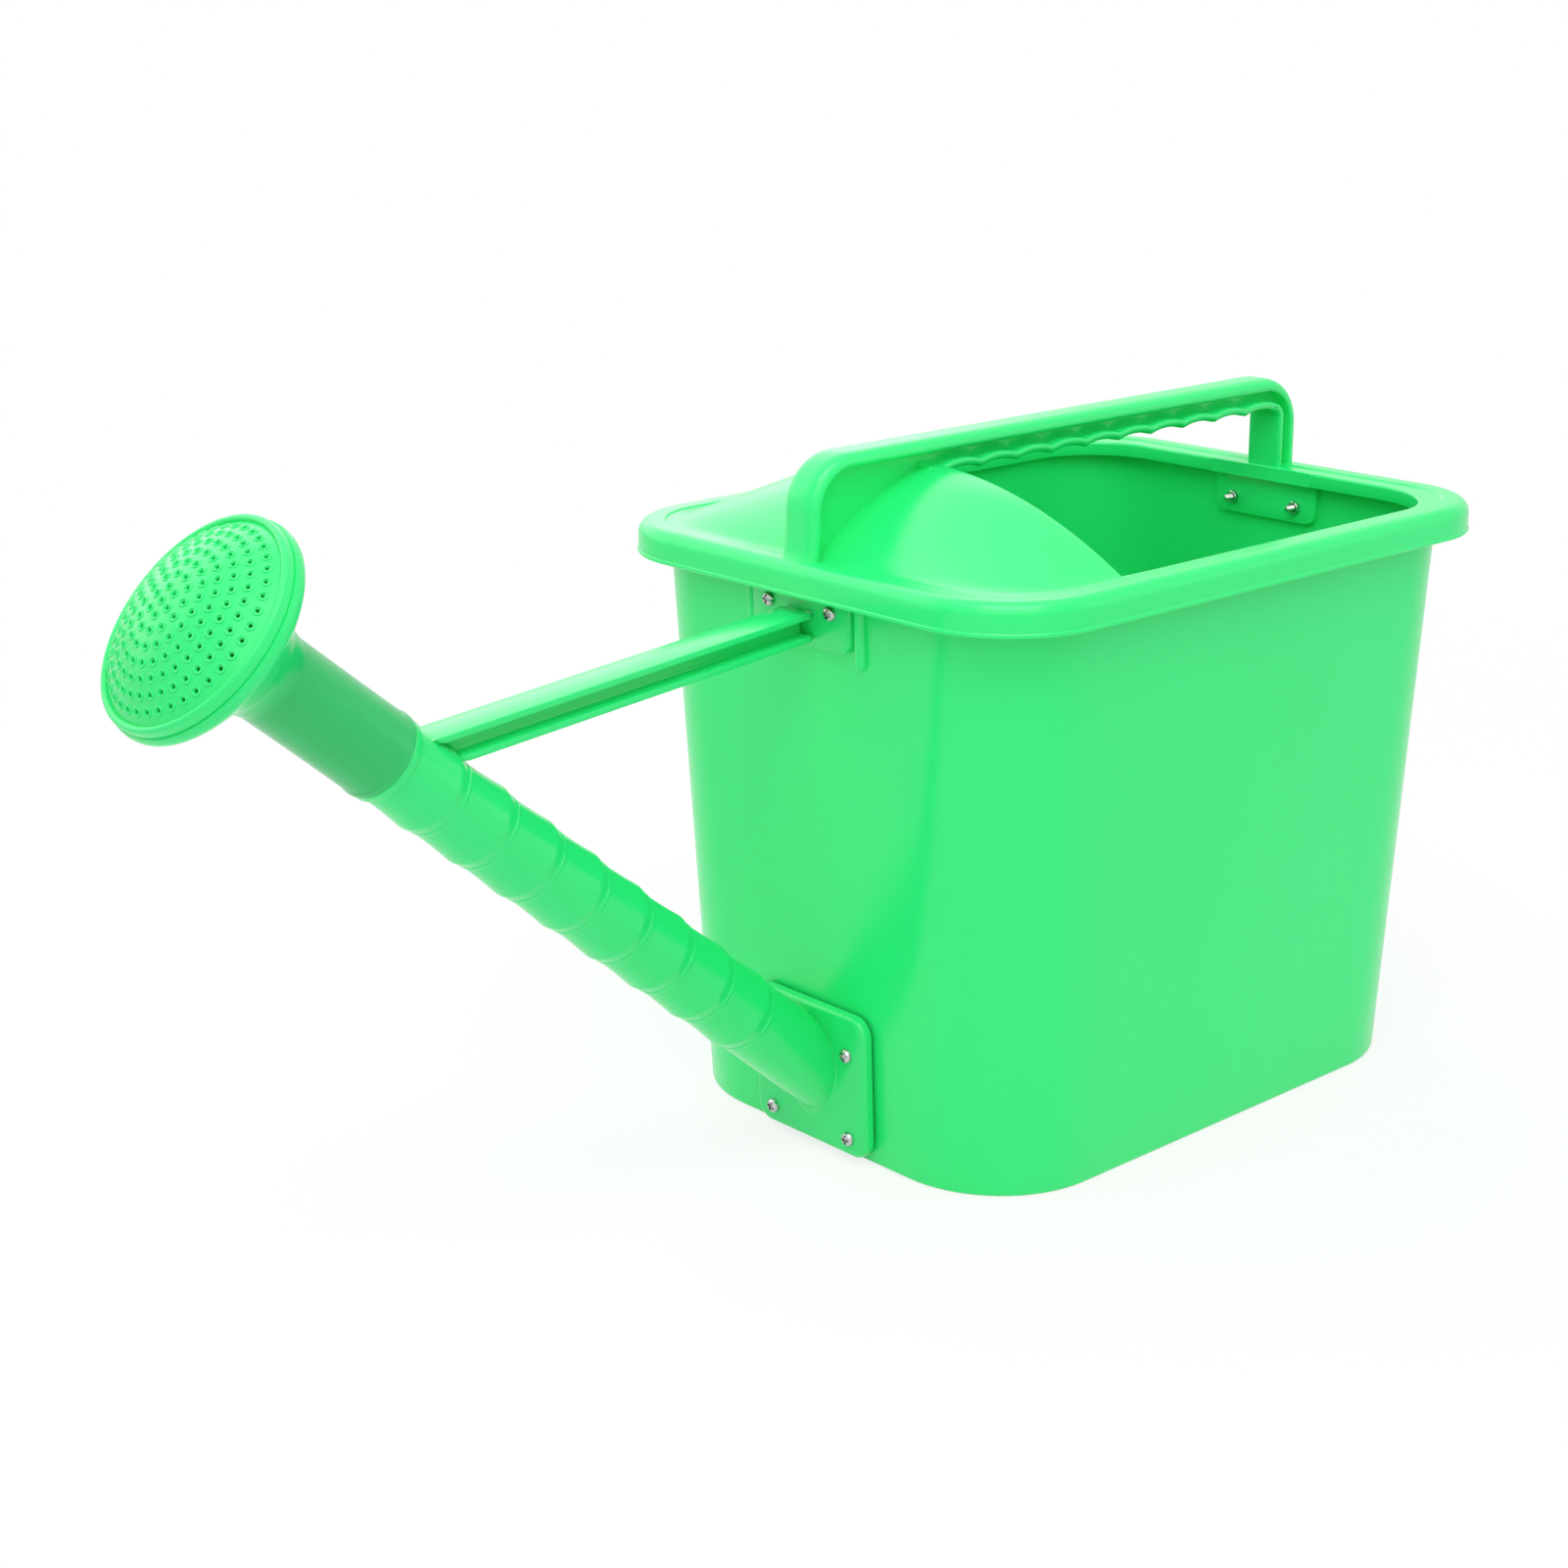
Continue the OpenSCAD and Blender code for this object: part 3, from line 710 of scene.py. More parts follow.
def coverRing(inset):
    # the far and near sides both have a point where the guard's arch stands
    r, steps = cover["cornerR"] - inset, cover["cornerSteps"]
    cx, cy = skirtX - cover["cornerR"], skirtY - cover["cornerR"]
    hx, hy = skirtX - inset, skirtY - inset
    points = arc(cx, cy, r, 0, 90, steps) + between((cx, hy), (archX, hy), 26) + [(archX, hy)]
    far = len(points) - 1
    points += between((archX, hy), (-cx, hy), 6) + arc(-cx, cy, r, 90, 180, steps)
    points += between((-hx, cy), (-hx, -cy), 24) + arc(-cx, -cy, r, 180, 270, steps)
    points += between((-cx, -hy), (archX, -hy), 6) + [(archX, -hy)]
    near = len(points) - 1
    points += between((archX, -hy), (cx, -hy), 26) + arc(cx, -cy, r, 270, 360, steps)
    points += between((hx, -cy), (hx, cy), 24)
    return points, far, near


def openingRow(grow):
    # from the far end of the arch round the rear to its near end, one point for each of the ring's
    r, steps = cover["openCornerR"] + grow, cover["cornerSteps"]
    hy, hx = cover["openHalfY"] + grow, cover["openRearX"] + grow
    cx, cy = hx - r, hy - r
    points = [(archX, -hy)] + between((archX, -hy), (cx, -hy), 26) + arc(cx, -cy, r, 270, 360, steps)
    points += between((hx, -cy), (hx, cy), 24) + arc(cx, cy, r, 0, 90, steps)
    return points + between((cx, hy), (archX, hy), 26) + [(archX, hy)]


def topHeight(x, y, inset):
    rise = guardHeight(x, y) if inset >= cover["band"] - 0.01 else 0.0
    step = min(1.0, max(0.0, (inset - cover["stepAt"]) / 0.9))
    return coverTop - cover["stepDeep"] * step * max(0.0, 1 - rise / 4) + rise


def makeCoverSheet():
    points, faces = [], []

    def addRows(rows, closed):
        offset = len(points)
        for row in rows:
            points.extend(row)
        faces.extend(gridFaces(len(rows), len(rows[0]), closed, offset))

    low = tubHeight + cover["topUp"] - cover["skirtLow"]
    r, bead, top = cover["rollR"], cover["bead"], coverTop
    profile = [(0.35, low), (0.05, low + 0.35), (0.0, low + 0.9), (0.08, low + 1.35), (bead, low + 1.75)]
    profile += [(bead, low + 2.6), (bead, low + 4.5), (bead, top - r)]
    turns = [math.pi / 2 * k / 10 for k in range(1, 11)]
    profile += [(r - (r - bead) * math.cos(a), top - r + r * math.sin(a)) for a in turns]
    step = cover["stepAt"]
    profile += [(inset, None) for inset in (r + 2.5, step - 0.6, step, step + 0.35, step + 0.9, cover["band"])]
    rows = []
    for inset, z in profile:
        ring, far, near = coverRing(inset)
        rows.append([(x, y, topHeight(x, y, inset) if z is None else z) for x, y in ring])
    addRows(rows, True)
    base = rows[-1]
    count = len(base)

    front = base[far:near + 1]
    reach = [0.0]
    for p, q in zip(front, front[1:]):
        reach.append(reach[-1] + math.dist(p[:2], q[:2]))
    edgeY = skirtY - cover["band"]
    firstY = cover["openHalfY"] + cover["lipR"]
    arch = [edgeY * (1 - 2 * v / reach[-1]) for v in reach]
    arch[1], arch[-2] = firstY, -firstY
    lines = 30
    rows = []
    for j in range(lines + 1):
        share = j / lines
        row = []
        for (x, y, z), archY in zip(front, arch):
            px, py = x + (archX - x) * share, y + (archY - y) * share
            row.append((px, py, topHeight(px, py, cover["band"])) if j else (x, y, z))
        rows.append(row)
    addRows(rows, False)

    rear = [base[k % count] for k in range(near, count + far + 1)]
    edge = openingRow(cover["lipR"])
    rows = []
    for share in (0.0, 0.35, 0.7, 1.0):
        flat = [(a[0] + (b[0] - a[0]) * share, a[1] + (b[1] - a[1]) * share) for a, b in zip(rear, edge)]
        rows.append([(x, y, topHeight(x, y, cover["band"])) for x, y in flat])
    rows[0] = rear
    last = rows[-1]
    for a in (20, 40, 60, 80, 90):
        a = math.radians(a)
        ring = openingRow(cover["lipR"] * (1 - math.sin(a)))
        rows.append([(x, y, p[2] - cover["lipR"] * (1 - math.cos(a))) for (x, y), p in zip(ring, last)])
    for z in (244.0, cover["lipLow"]):
        rows.append([(x, y, z) for x, y in openingRow(0)])
    addRows(rows, False)
    obj = newMesh("coverShell", points, faces, mintPlastic)
    bm = mergedMesh(obj, 0.00002)
    bm.faces.ensure_lookup_table()
    highest = max(bm.faces, key=lambda f: f.calc_center_median().z)
    if highest.normal.z < 0:
        bmesh.ops.reverse_faces(bm, faces=bm.faces)
    bm.to_mesh(obj.data)
    bm.free()
    solid = obj.modifiers.new("wall", "SOLIDIFY")
    solid.thickness = cover["thick"] * mm
    solid.offset = -1
    solid.use_even_offset = True
    soft = obj.modifiers.new("edges", "BEVEL")
    soft.width = 0.45 * mm
    soft.segments = 2
    soft.limit_method = "ANGLE"
    soft.angle_limit = math.radians(55)
    bakeModifiers(obj)
    return tidyMesh(obj, 30)


handle = {"halfY": 8.8, "flange": 5.3, "webHalf": 1.8, "inset": 5.9, "cornerR": 22.0, "lowerDrop": 15.0,
          "scallops": 10, "scallopDeep": 1.6, "innerLeg": 13.4, "gapCornerR": 3.0, "stationsEach": 12}
handleTop = coverHigh[2]
handleX = skirtX - handle["inset"]
innerLegX = handleX - handle["innerLeg"]
lowerZ = handleTop - handle["lowerDrop"]


def guardLine(x):
    return topHeight(x, 0, cover["band"])


def makeHandle():
    pieces = []
    half, thick, web = handle["halfY"], handle["flange"], handle["webHalf"]
    outer = mirrored([(0, 0), (3, 0.03), (4.8, 0.15), (6.2, 0.5), (7.3, 1.1), (8.1, 1.9), (half - 0.2, 2.8),
                      (half, 3.8), (half, thick - 0.9), (half - 0.2, thick - 0.35), (half - 0.7, thick), (4.6, thick),
                      (3.3, thick + 0.3), (2.4, thick + 0.9), (web, thick + 2)])
    r = handle["cornerR"]
    flare = [(-2.9, -1.4), (-2.3, -0.2), (-1.5, 1.3), (-0.9, 3.4), (-0.45, 6.4), (-0.15, 10), (0, 14)]
    path = smoothPath([(p[0] - handleX, coverTop + p[1]) for p in flare], 3)
    path += arc(r - handleX, handleTop - r, r, 180, 90, 16)
    path += between((r - handleX, handleTop), (handleX - r, handleTop), 30)
    path += arc(handleX - r, handleTop - r, r, 90, 0, 16)
    path += [(handleX, handleTop - r - 8), (handleX, coverTop - 1.2)]
    pieces.append(tidyMesh(sweepAlong("grip", path, outer, mintPlastic), 40))

    pitch = (innerLegX - 2 - archX - 2) / handle["scallops"]
    lower = [(archX - 7, lowerZ), (archX - 3, lowerZ)]
    for k in range(handle["scallops"]):
        for j in range(handle["stationsEach"]):
            f = j / handle["stationsEach"]
            lower.append((archX + 2 + pitch * (k + f), lowerZ + handle["scallopDeep"] * 4 * f * (1 - f)))
    gapR = handle["gapCornerR"]
    lower.append((innerLegX - gapR - 0.6, lowerZ))
    lower += arc(innerLegX - gapR, lowerZ - gapR, gapR, 90, 0, 6)
    lower += [(innerLegX, lowerZ - 14), (innerLegX, coverTop - 1.5)]
    inner = mirrored([(0, 0), (5, 0.03), (7.4, 0.2), (8.3, 0.6), (half, 1.4), (half, 2.6), (half - 0.25, 3.2),
                      (half - 0.8, 3.5), (4.4, 3.6), (3.2, 4.0), (2.3, 4.9), (web, 6.2)])
    pieces.append(tidyMesh(sweepAlong("fingerRail", lower, inner, mintPlastic, -1), 40))

    rimIn = 2.4
    flat = [(-handleX + rimIn - 0.8, coverTop - 1.5), (-handleX + rimIn, coverTop + 8)]
    flat += arc(r - handleX, handleTop - r, r - rimIn, 180, 90, 10)
    flat += arc(handleX - r, handleTop - r, r - rimIn, 90, 0, 10)
    flat += [(handleX - rimIn, coverTop - 1.5), (innerLegX + 1.5, coverTop - 1.5), (innerLegX + 1.5, lowerZ + 2.6),
             (archX + 1.2, lowerZ + 2.6), (archX + 1.2, guardLine(archX) - 1.6), (archX, guardLine(archX) - 1.6)]
    steps = 20
    for k in range(1, steps + 1):
        x = archX + (guardFrontX - archX) * k / steps
        flat.append((x, guardLine(x) - 1.4))
    pieces.append(tidyMesh(prism("web", flat, web, mintPlastic), 30))
    return pieces


def makeTabs():
    pieces = []
    t, wall = cover["tabThick"], tub["wall"]
    for place, low in ((onFront, cover["frontTabLow"]), (onRear, cover["rearTabLow"])):
        levels = [(wall, 0.3), (wall + 0.3, 0), (wall + t - 0.8, 0), (wall + t - 0.25, 0.25), (wall + t, 0.8)]
        plate = placedPlate("tab", place, levels, cover["tabHalfY"], tubHeight - low, coverTop - 0.8, 5, mintPlastic)
        for y in bothSides(tabPlaces):
            cutWith(plate, rod("hole", place(0, y, tabHigh), place(9, y, tabHigh), tub["screwR"], mintPlastic, 24))
        pieces.append(tidyMesh(plate))
    low, high, half = wall + 0.4, wall + 7.5, cover["tabHalfY"]
    bridge = [onRear(x, y, z) for z in (tubHeight - 4.5, tubHeight + 1.4)
              for x, y in ((low, -half), (high, -half), (high, half), (low, half))]
    faces = [(0, 1, 2, 3), (7, 6, 5, 4), (0, 4, 5, 1), (1, 5, 6, 2), (2, 6, 7, 3), (3, 7, 4, 0)]
    pieces.append(tidyMesh(newMesh("bridge", bridge, faces, mintPlastic)))
    return pieces


coverSheet = makeCoverSheet()
coverShell = joinPieces("coverShell", [coverSheet] + makeHandle() + makeTabs())
finishPiece(coverShell, "can", "green_plastic", "handle_cover")
print("cover and handle made")

# the spout: stepped tube, flange plate, brace and its plate, all one moulding
spout = {"long": 270.5, "crestR": 16.4, "drop": 1.0, "pitch": 26.5, "shoulder": 6.0, "firstCrest": 246.5,
         "steps": 8, "beadHigh": 0.3, "collarLong": 3.5, "collarR": 16.6, "spigotR": 14.5, "spigotLong": 39.5,
         "wayR": 12.4, "around": 96, "along": 564, "buried": -20.0, "backAt": -1.5, "flangeFace": -6.0,
         "flangeHalfY": 33.0, "flangeLow": 3.0, "flangeHigh": 64.5, "flangeCornerR": 8.0}
brace = {"rise": 4.9, "rootDrop": 16.2, "halfY": 8.25, "deep": 11.8, "flange": 2.6, "webHalf": 1.6, "fillet": 3.0,
         "sink": 3.8, "plateThick": 3.5, "plateLow": 31.0, "plateHigh": 5.5, "plateCornerR": 6.0}


def steppedTubeGroup():
    group, given = newGroup("steppedTube", start=0.0, end=1.0, pitch=1.0, shoulder=1.0, crestR=1.0, drop=1.0,
                            firstCrest=1.0, lastCrest=1.0, beadHigh=1.0, along=3, around=3)
    start, pitch, shoulder, firstCrest = given.start, given.pitch, given.shoulder, given.firstCrest
    grid = groupNode(group, "GeometryNodeMeshGrid", Size_X=1.0, Size_Y=1.0, Vertices_X=given.along,
                     Vertices_Y=given.around + 1.0)
    spot = group.nodes.new("ShaderNodeSeparateXYZ")
    plug(group.nodes.new("GeometryNodeInputPosition").outputs[0], spot.inputs[0])
    share, side = numberSocket(spot.outputs[0]), numberSocket(spot.outputs[1])
    s = (share + 0.5).to("MULTIPLY_ADD", given.end - start, start)
    turn = (side + 0.5) * (2 * math.pi)
    highest = firstCrest + (pitch - shoulder) - 1.0
    lowest = given.lastCrest - shoulder - 1.0
    held = s.to("MAXIMUM", lowest).to("MINIMUM", highest)
    within = (held - firstCrest + shoulder) % pitch
    rise = rampUp(group, within, 0.0, shoulder, "SMOOTHSTEP")
    fall = 1.0 - rampUp(group, within, shoulder, pitch)
    foot = rampUp(group, s, lowest, lowest - 76.0)
    swell = (rise * (fall * fall) + foot).to("MINIMUM", 1.0)
    gap = within.to("MINIMUM", pitch - within)
    bead = (1.0 - (gap / 0.7).to("POWER", 2.0)).to("MAXIMUM", 0.0)
    r = swell.to("MULTIPLY_ADD", given.drop, given.crestR - given.drop)
    r = bead.to("MULTIPLY_ADD", given.beadHigh, r)
    place = vector(group, s, r * turn.to("COSINE"), r * turn.to("SINE"))
    shrink = groupNode(group, "ShaderNodeVectorMath", setup={"operation": "SCALE"}, Vector=place, Scale=mm)
    tube = groupNode(group, "GeometryNodeSetPosition", Geometry=grid, Position=shrink)
    joined = groupNode(group, "GeometryNodeMergeByDistance", Geometry=tube, Distance=0.000002)
    closeGroup(group, joined, given.material)
    return group


wallIn = Vector((math.cos(draft), 0, math.sin(draft)))
wallSpot = Vector(onFront(0, 0, 0))


def alongToWall(r, angle, depth):
    # place along the axis where a line of the tube meets a plane inside or outside the wall
    offset = spoutUp * (r * math.cos(angle)) + spoutSide * (r * math.sin(angle))
    return (depth - (spoutRoot + offset - wallSpot).dot(wallIn)) / spoutAxis.dot(wallIn)


def onCutSpout(s, y, z):
    r, angle = math.hypot(y, z), math.atan2(z, y)
    return onSpout(r, angle, max(s, alongToWall(r, angle, spout["backAt"])))


def makeSpoutTube():
    tube = newMesh("spoutTube", [], [], spoutPlastic)
    lastCrest = spout["firstCrest"] - spout["pitch"] * (spout["steps"] - 1)
    end = spout["long"] - spout["collarLong"]
    words = ("pitch", "shoulder", "crestR", "drop", "firstCrest", "beadHigh", "along", "around")
    runGroup(tube, steppedTubeGroup(), spoutPlastic,
             {"start": spout["buried"], "end": end, "lastCrest": lastCrest, **{word: spout[word] for word in words}})
    radii = [(v.co.x, math.hypot(v.co.y, v.co.z) / mm) for v in tube.data.vertices]
    rEnd = max(r for x, r in radii if x > end * mm - 1e-6)
    rStart = max(r for x, r in radii if x < spout["buried"] * mm + 1e-6)
    moveMesh(tube, onCutSpout)
    c, t, w = spout["collarR"], spout["spigotR"], spout["wayR"]
    long, out = spout["long"], spout["long"] + spout["spigotLong"]
    profile = [(rEnd, end), (rEnd + 0.5, end + 0.1), (c - 0.15, end + 0.3), (c, end + 0.6), (c, long - 0.3),
               (c - 0.3, long), (t, long), (t, out - 1), (t - 0.3, out - 0.3), (t - 1, out), (w + 0.3, out),
               (w, out - 0.3), (w, 60), (w, -60), (rStart, -60)]
    n = spout["around"]
    points = [onCutSpout(s, y, z) for r, s in profile for y, z in circle(r, n, -math.pi)]
    rest = newMesh("spigot", points, gridFaces(len(profile), n), spoutPlastic)
    return tidyMesh(joinPieces("spoutTube", [tube, rest]), 30, 0.00002)


def makeFlange():
    face = spout["flangeFace"]
    levels = [(spout["backAt"], 0.2), (spout["backAt"] - 0.2, 0), (face + 1.7, 0.1), (face + 0.95, 0.35),
              (face + 0.4, 0.8), (face + 0.1, 1.4), (face, 2.0)]
    plate = placedPlate("flange", onFront, levels, spout["flangeHalfY"], spout["flangeLow"], spout["flangeHigh"],
                        spout["flangeCornerR"], spoutPlastic)
    way = rod("way", spoutRoot - spoutAxis * 40, spoutRoot + spoutAxis * 40, spout["wayR"], spoutPlastic, 96)
    cutWith(plate, way)
    for y in bothSides(flangePlaces):
        for z in (flangePlaces["low"], flangePlaces["high"]):
            cutWith(plate, rod("hole", onFront(-12, y, z), onFront(3, y, z), tub["screwR"], spoutPlastic, 24))
    tidyMesh(plate)
    # blend between tube and plate: narrow above, wide below
    rings = []
    shares = [j / 7 for j in range(8)]
    for k in range(spout["around"]):
        angle = 2 * math.pi * k / spout["around"]
        size = 0.3 + 2.7 * (0.5 - 0.5 * math.cos(angle)) ** 3
        r = spout["crestR"] - 0.35
        corner = Vector(onSpout(r, angle, alongToWall(r, angle, face)))
        sunk = Vector(onSpout(r - 0.6, angle, alongToWall(r - 0.6, angle, face + 0.8)))
        up = corner + spoutAxis * size * 1.15
        flat = spoutUp * math.cos(angle) + spoutSide * math.sin(angle)
        flat = (flat - wallIn * flat.dot(wallIn)).normalized()
        foot = corner + flat * size + wallIn * 0.03
        ring = [tuple(up * (1 - t) ** 2 + corner * (2 * t * (1 - t)) + foot * t * t) for t in shares]
        rings.append(ring + [tuple(foot + wallIn * 0.8), tuple(sunk)])
    return [plate, tidyMesh(ringSolid("blend", rings, spoutPlastic), 40)]


def makeBrace():
    half, deep, flange, web, r = brace["halfY"], brace["deep"], brace["flange"], brace["webHalf"], brace["fillet"]
    side = [(half - 0.5, 0), (half - 0.12, -0.14), (half, -0.5), (half, 0.5 - flange), (half - 0.12, 0.12 - flange),
            (half - 0.4, -flange), (web + 1.3, -flange), (web + 0.4, -flange - 0.35), (web, -flange - 1.2)]
    bottom = [(y, -deep - z) for y, z in reversed(side)]
    right = side + bottom
    section = right + [(-y, z) for y, z in reversed(right)]
    count = len(section)
    normals = []
    for k in range(count):
        (ay, az), (by, bz) = section[k - 1], section[(k + 1) % count]
        length = math.hypot(by - ay, bz - az)
        normals.append(((az - bz) / length * -1, (by - ay) / length * -1))
    root = Vector(onFront(0, 0, tubHeight - brace["rootDrop"]))
    out = Vector((-math.cos(math.radians(brace["rise"])), 0, -math.sin(math.radians(brace["rise"]))))
    over = Vector((-out.z, 0, out.x)) * -1
    gap = (root - spoutRoot)
    far = (gap - spoutAxis * gap.dot(spoutAxis)).length
    meet = math.radians(brace["rise"]) + math.atan2(spoutAxis.z, -spoutAxis.x)
    long = (far - spout["crestR"] + brace["sink"]) / math.sin(meet)
    stations = [1.0 + 0.4 * k for k in range(22)] + [14 + 10 * k for k in range(int((long - 40) / 10))]
    stations += [long - 26 + 0.5 * k for k in range(53)]
    sunk = spout["crestR"] - 2.2
    rings = []
    for q in stations:
        ring = []
        for (y, z), (ny, nz) in zip(section, normals):
            start = root + over * z + Vector((0, y, 0)) - spoutRoot
            flat = start - spoutAxis * start.dot(spoutAxis)
            step = out - spoutAxis * out.dot(spoutAxis)
            a, b, c = step.dot(step), flat.dot(step), flat.dot(flat) - sunk ** 2
            reach = (-b - math.sqrt(b * b - a * c)) / a
            share = min(1.0, max(0.0, (q - long / 2) / (long / 2 - 26)))
            p = start + out * (q + (reach - long) * share)
            toTube = ((p - spoutAxis * p.dot(spoutAxis)).length - spout["crestR"] + 0.6) / math.sin(meet)
            p = p + spoutRoot
            toWall = -(p - wallSpot).dot(wallIn) - brace["plateThick"]
            near = max(0.0, min(toTube, toWall))
            swell = r * 0.75 * (1 - math.sqrt(max(0.0, 1 - (1 - near / r) ** 2))) if near < r else 0.0
            ring.append(tuple(p + over * (nz * swell) + Vector((0, ny * swell, 0))))
        rings.append(ring)
    bar = tidyMesh(loft("brace", rings, spoutPlastic), 40)
    t = brace["plateThick"]
    levels = [(0, 0.15), (-0.2, 0), (0.9 - t, 0.05), (0.35 - t, 0.3), (-t, 0.9)]
    plate = placedPlate("bracePlate", onFront, levels, cover["tabHalfY"], tubHeight - brace["plateLow"],
                        tubHeight - brace["plateHigh"], brace["plateCornerR"], spoutPlastic)
    for y in bothSides(tabPlaces):
        cutWith(plate, rod("hole", onFront(-8, y, tabHigh), onFront(3, y, tabHigh), tub["screwR"], spoutPlastic, 24))
    return [bar, tidyMesh(plate)]


spoutMoulding = joinPieces("spoutMoulding", [makeSpoutTube()] + makeFlange() + makeBrace())
finishPiece(spoutMoulding, "can", "green_plastic", "spout_with_brace")
print("spout made")

# the rose: sleeve and funnel, then the cap with its dome of holes
rose = {"rimAt": 357.5, "rimR": 42.1, "neckR": 16.4, "wall": 2.0, "plugHigh": 4.0, "plugR": 39.24, "boreR": 14.56,
        "footR": 17.0, "domeHigh": 14.7, "borderR": 1.45, "holePitch": 5.3, "holeR": 0.7, "turn": 250.0,
        "rings": 7, "outerCount": 40, "collarR": 1.45, "collarThick": 0.42, "around": 168}


def makeRoseBody():
    at, rim, neck, wall = rose["rimAt"], rose["rimR"], rose["neckR"], rose["wall"]
    foot, stop = spout["long"] + 0.2, spout["long"] + spout["spigotLong"] + 1
    shares = [(0, -32), (0.02, -29.5), (0.1, -23.5), (0.25, -19.5), (0.39, -16.5), (0.53, -13.5), (0.72, -9.5),
              (0.84, -7.5), (0.94, -5.3), (0.985, -3.8), (1, -2.1), (0.996, -0.9)]
    outer = smoothPath([(neck + (rim - neck) * a, at + b) for a, b in shares], 3)
    bead = rose["footR"]
    sleeve = [(rose["boreR"], foot + 0.4), (rose["boreR"] + 0.4, foot), (bead - 0.4, foot),
              (bead - 0.05, foot + 0.35), (bead, foot + 1.0), (bead, foot + 2.6), (bead - 0.25, foot + 3.2),
              (bead - 0.38, foot + 4.2), (bead - 0.5, foot + 12), (neck, foot + 30)]
    inner = [(neck + (rim - neck) * a - wall * 0.8, at + b + wall * 0.75) for a, b in reversed(shares[1:8])]
    bore = rose["plugR"] + 0.06
    way = spout["spigotR"] - 1.5
    seat = at - rose["plugHigh"] - 0.3
    profile = sleeve + outer + [(rim - 0.25, at - 0.1), (rim - 0.5, at), (bore + 0.3, at), (bore, at - 0.3),
                                (bore, seat), (bore - wall, seat)]
    profile += smoothPath(inner, 2) + [(way, stop + 12), (way, stop), (rose["boreR"], stop)]
    obj = revolve("roseBody", profile, sleevePlastic, 128)
    return finishPiece(tidyMesh(obj, 30), "rose", "green_plastic", "rose_body")


def perforatedGroup():
    group, given = newGroup("perforatedDome", domeR=1.0, domeMiddle=1.0, pitch=1.0, holeR=1.0, collarR=1.0,
                            collarThick=1.0, turn=1.0, count=7, outerRing=7, outerCount=6)
    index = numberSocket(group.nodes.new("GeometryNodeInputIndex").outputs[0])
    share = (index.to("MULTIPLY_ADD", 12.0, 9.0).to("SQRT") - 3.0) / 6.0
    ring = (share - 0.0001).to("CEIL")
    before = (ring * (ring - 1.0)).to("MULTIPLY_ADD", 3.0, 1.0)
    isOuter = ring.to("COMPARE", given.outerRing, 0.5)
    inRing = (ring * 6.0).to("MAXIMUM", 1.0)
    inRing = isOuter.to("MULTIPLY_ADD", given.outerCount - inRing, inRing)
    turn = ((index - before) / inRing).to("MULTIPLY_ADD", 2 * math.pi, given.turn)
    tilt = ring * given.pitch / given.domeR
    flat = tilt.to("SINE")
    outward = vector(group, flat * turn.to("COSINE"), flat * turn.to("SINE"), tilt.to("COSINE"))
    arm = groupNode(group, "ShaderNodeVectorMath", setup={"operation": "SCALE"}, Vector=outward, Scale=given.domeR)
    spot = groupNode(group, "ShaderNodeVectorMath", setup={"operation": "ADD"})
    plug(arm, spot.node.inputs[0])
    plug(vector(group, 0.0, 0.0, given.domeMiddle), spot.node.inputs[1])
    points = groupNode(group, "GeometryNodePoints", Count=given.count, Position=spot)
    aim = groupNode(group, "FunctionNodeAlignRotationToVector", setup={"axis": "Z"}, Vector=outward)
    drill = groupNode(group, "GeometryNodeMeshCylinder", Vertices=16, Radius=given.holeR, Depth=0.012)
    loop = groupNode(group, "GeometryNodeCurvePrimitiveCircle", Resolution=20, Radius=given.collarR)
    bead = groupNode(group, "GeometryNodeCurvePrimitiveCircle", Resolution=8, Radius=given.collarThick)
    collar = groupNode(group, "GeometryNodeCurveToMesh", Curve=loop, Profile_Curve=bead)
    drills, collars = [groupNode(group, "GeometryNodeInstanceOnPoints", Points=points, Instance=piece, Rotation=aim)
                       for piece in (drill, collar)]
    drills = groupNode(group, "GeometryNodeRealizeInstances", Geometry=drills)
    cut = groupNode(group, "GeometryNodeMeshBoolean", 0, {"operation": "DIFFERENCE", "solver": "EXACT"},
                    Mesh_1=given.Geometry, Mesh_2=drills)
    both = group.nodes.new("GeometryNodeJoinGeometry")
    for piece in (collars, cut):
        plug(piece, both.inputs[0])
    closeGroup(group, both.outputs[0], given.material)
    return group


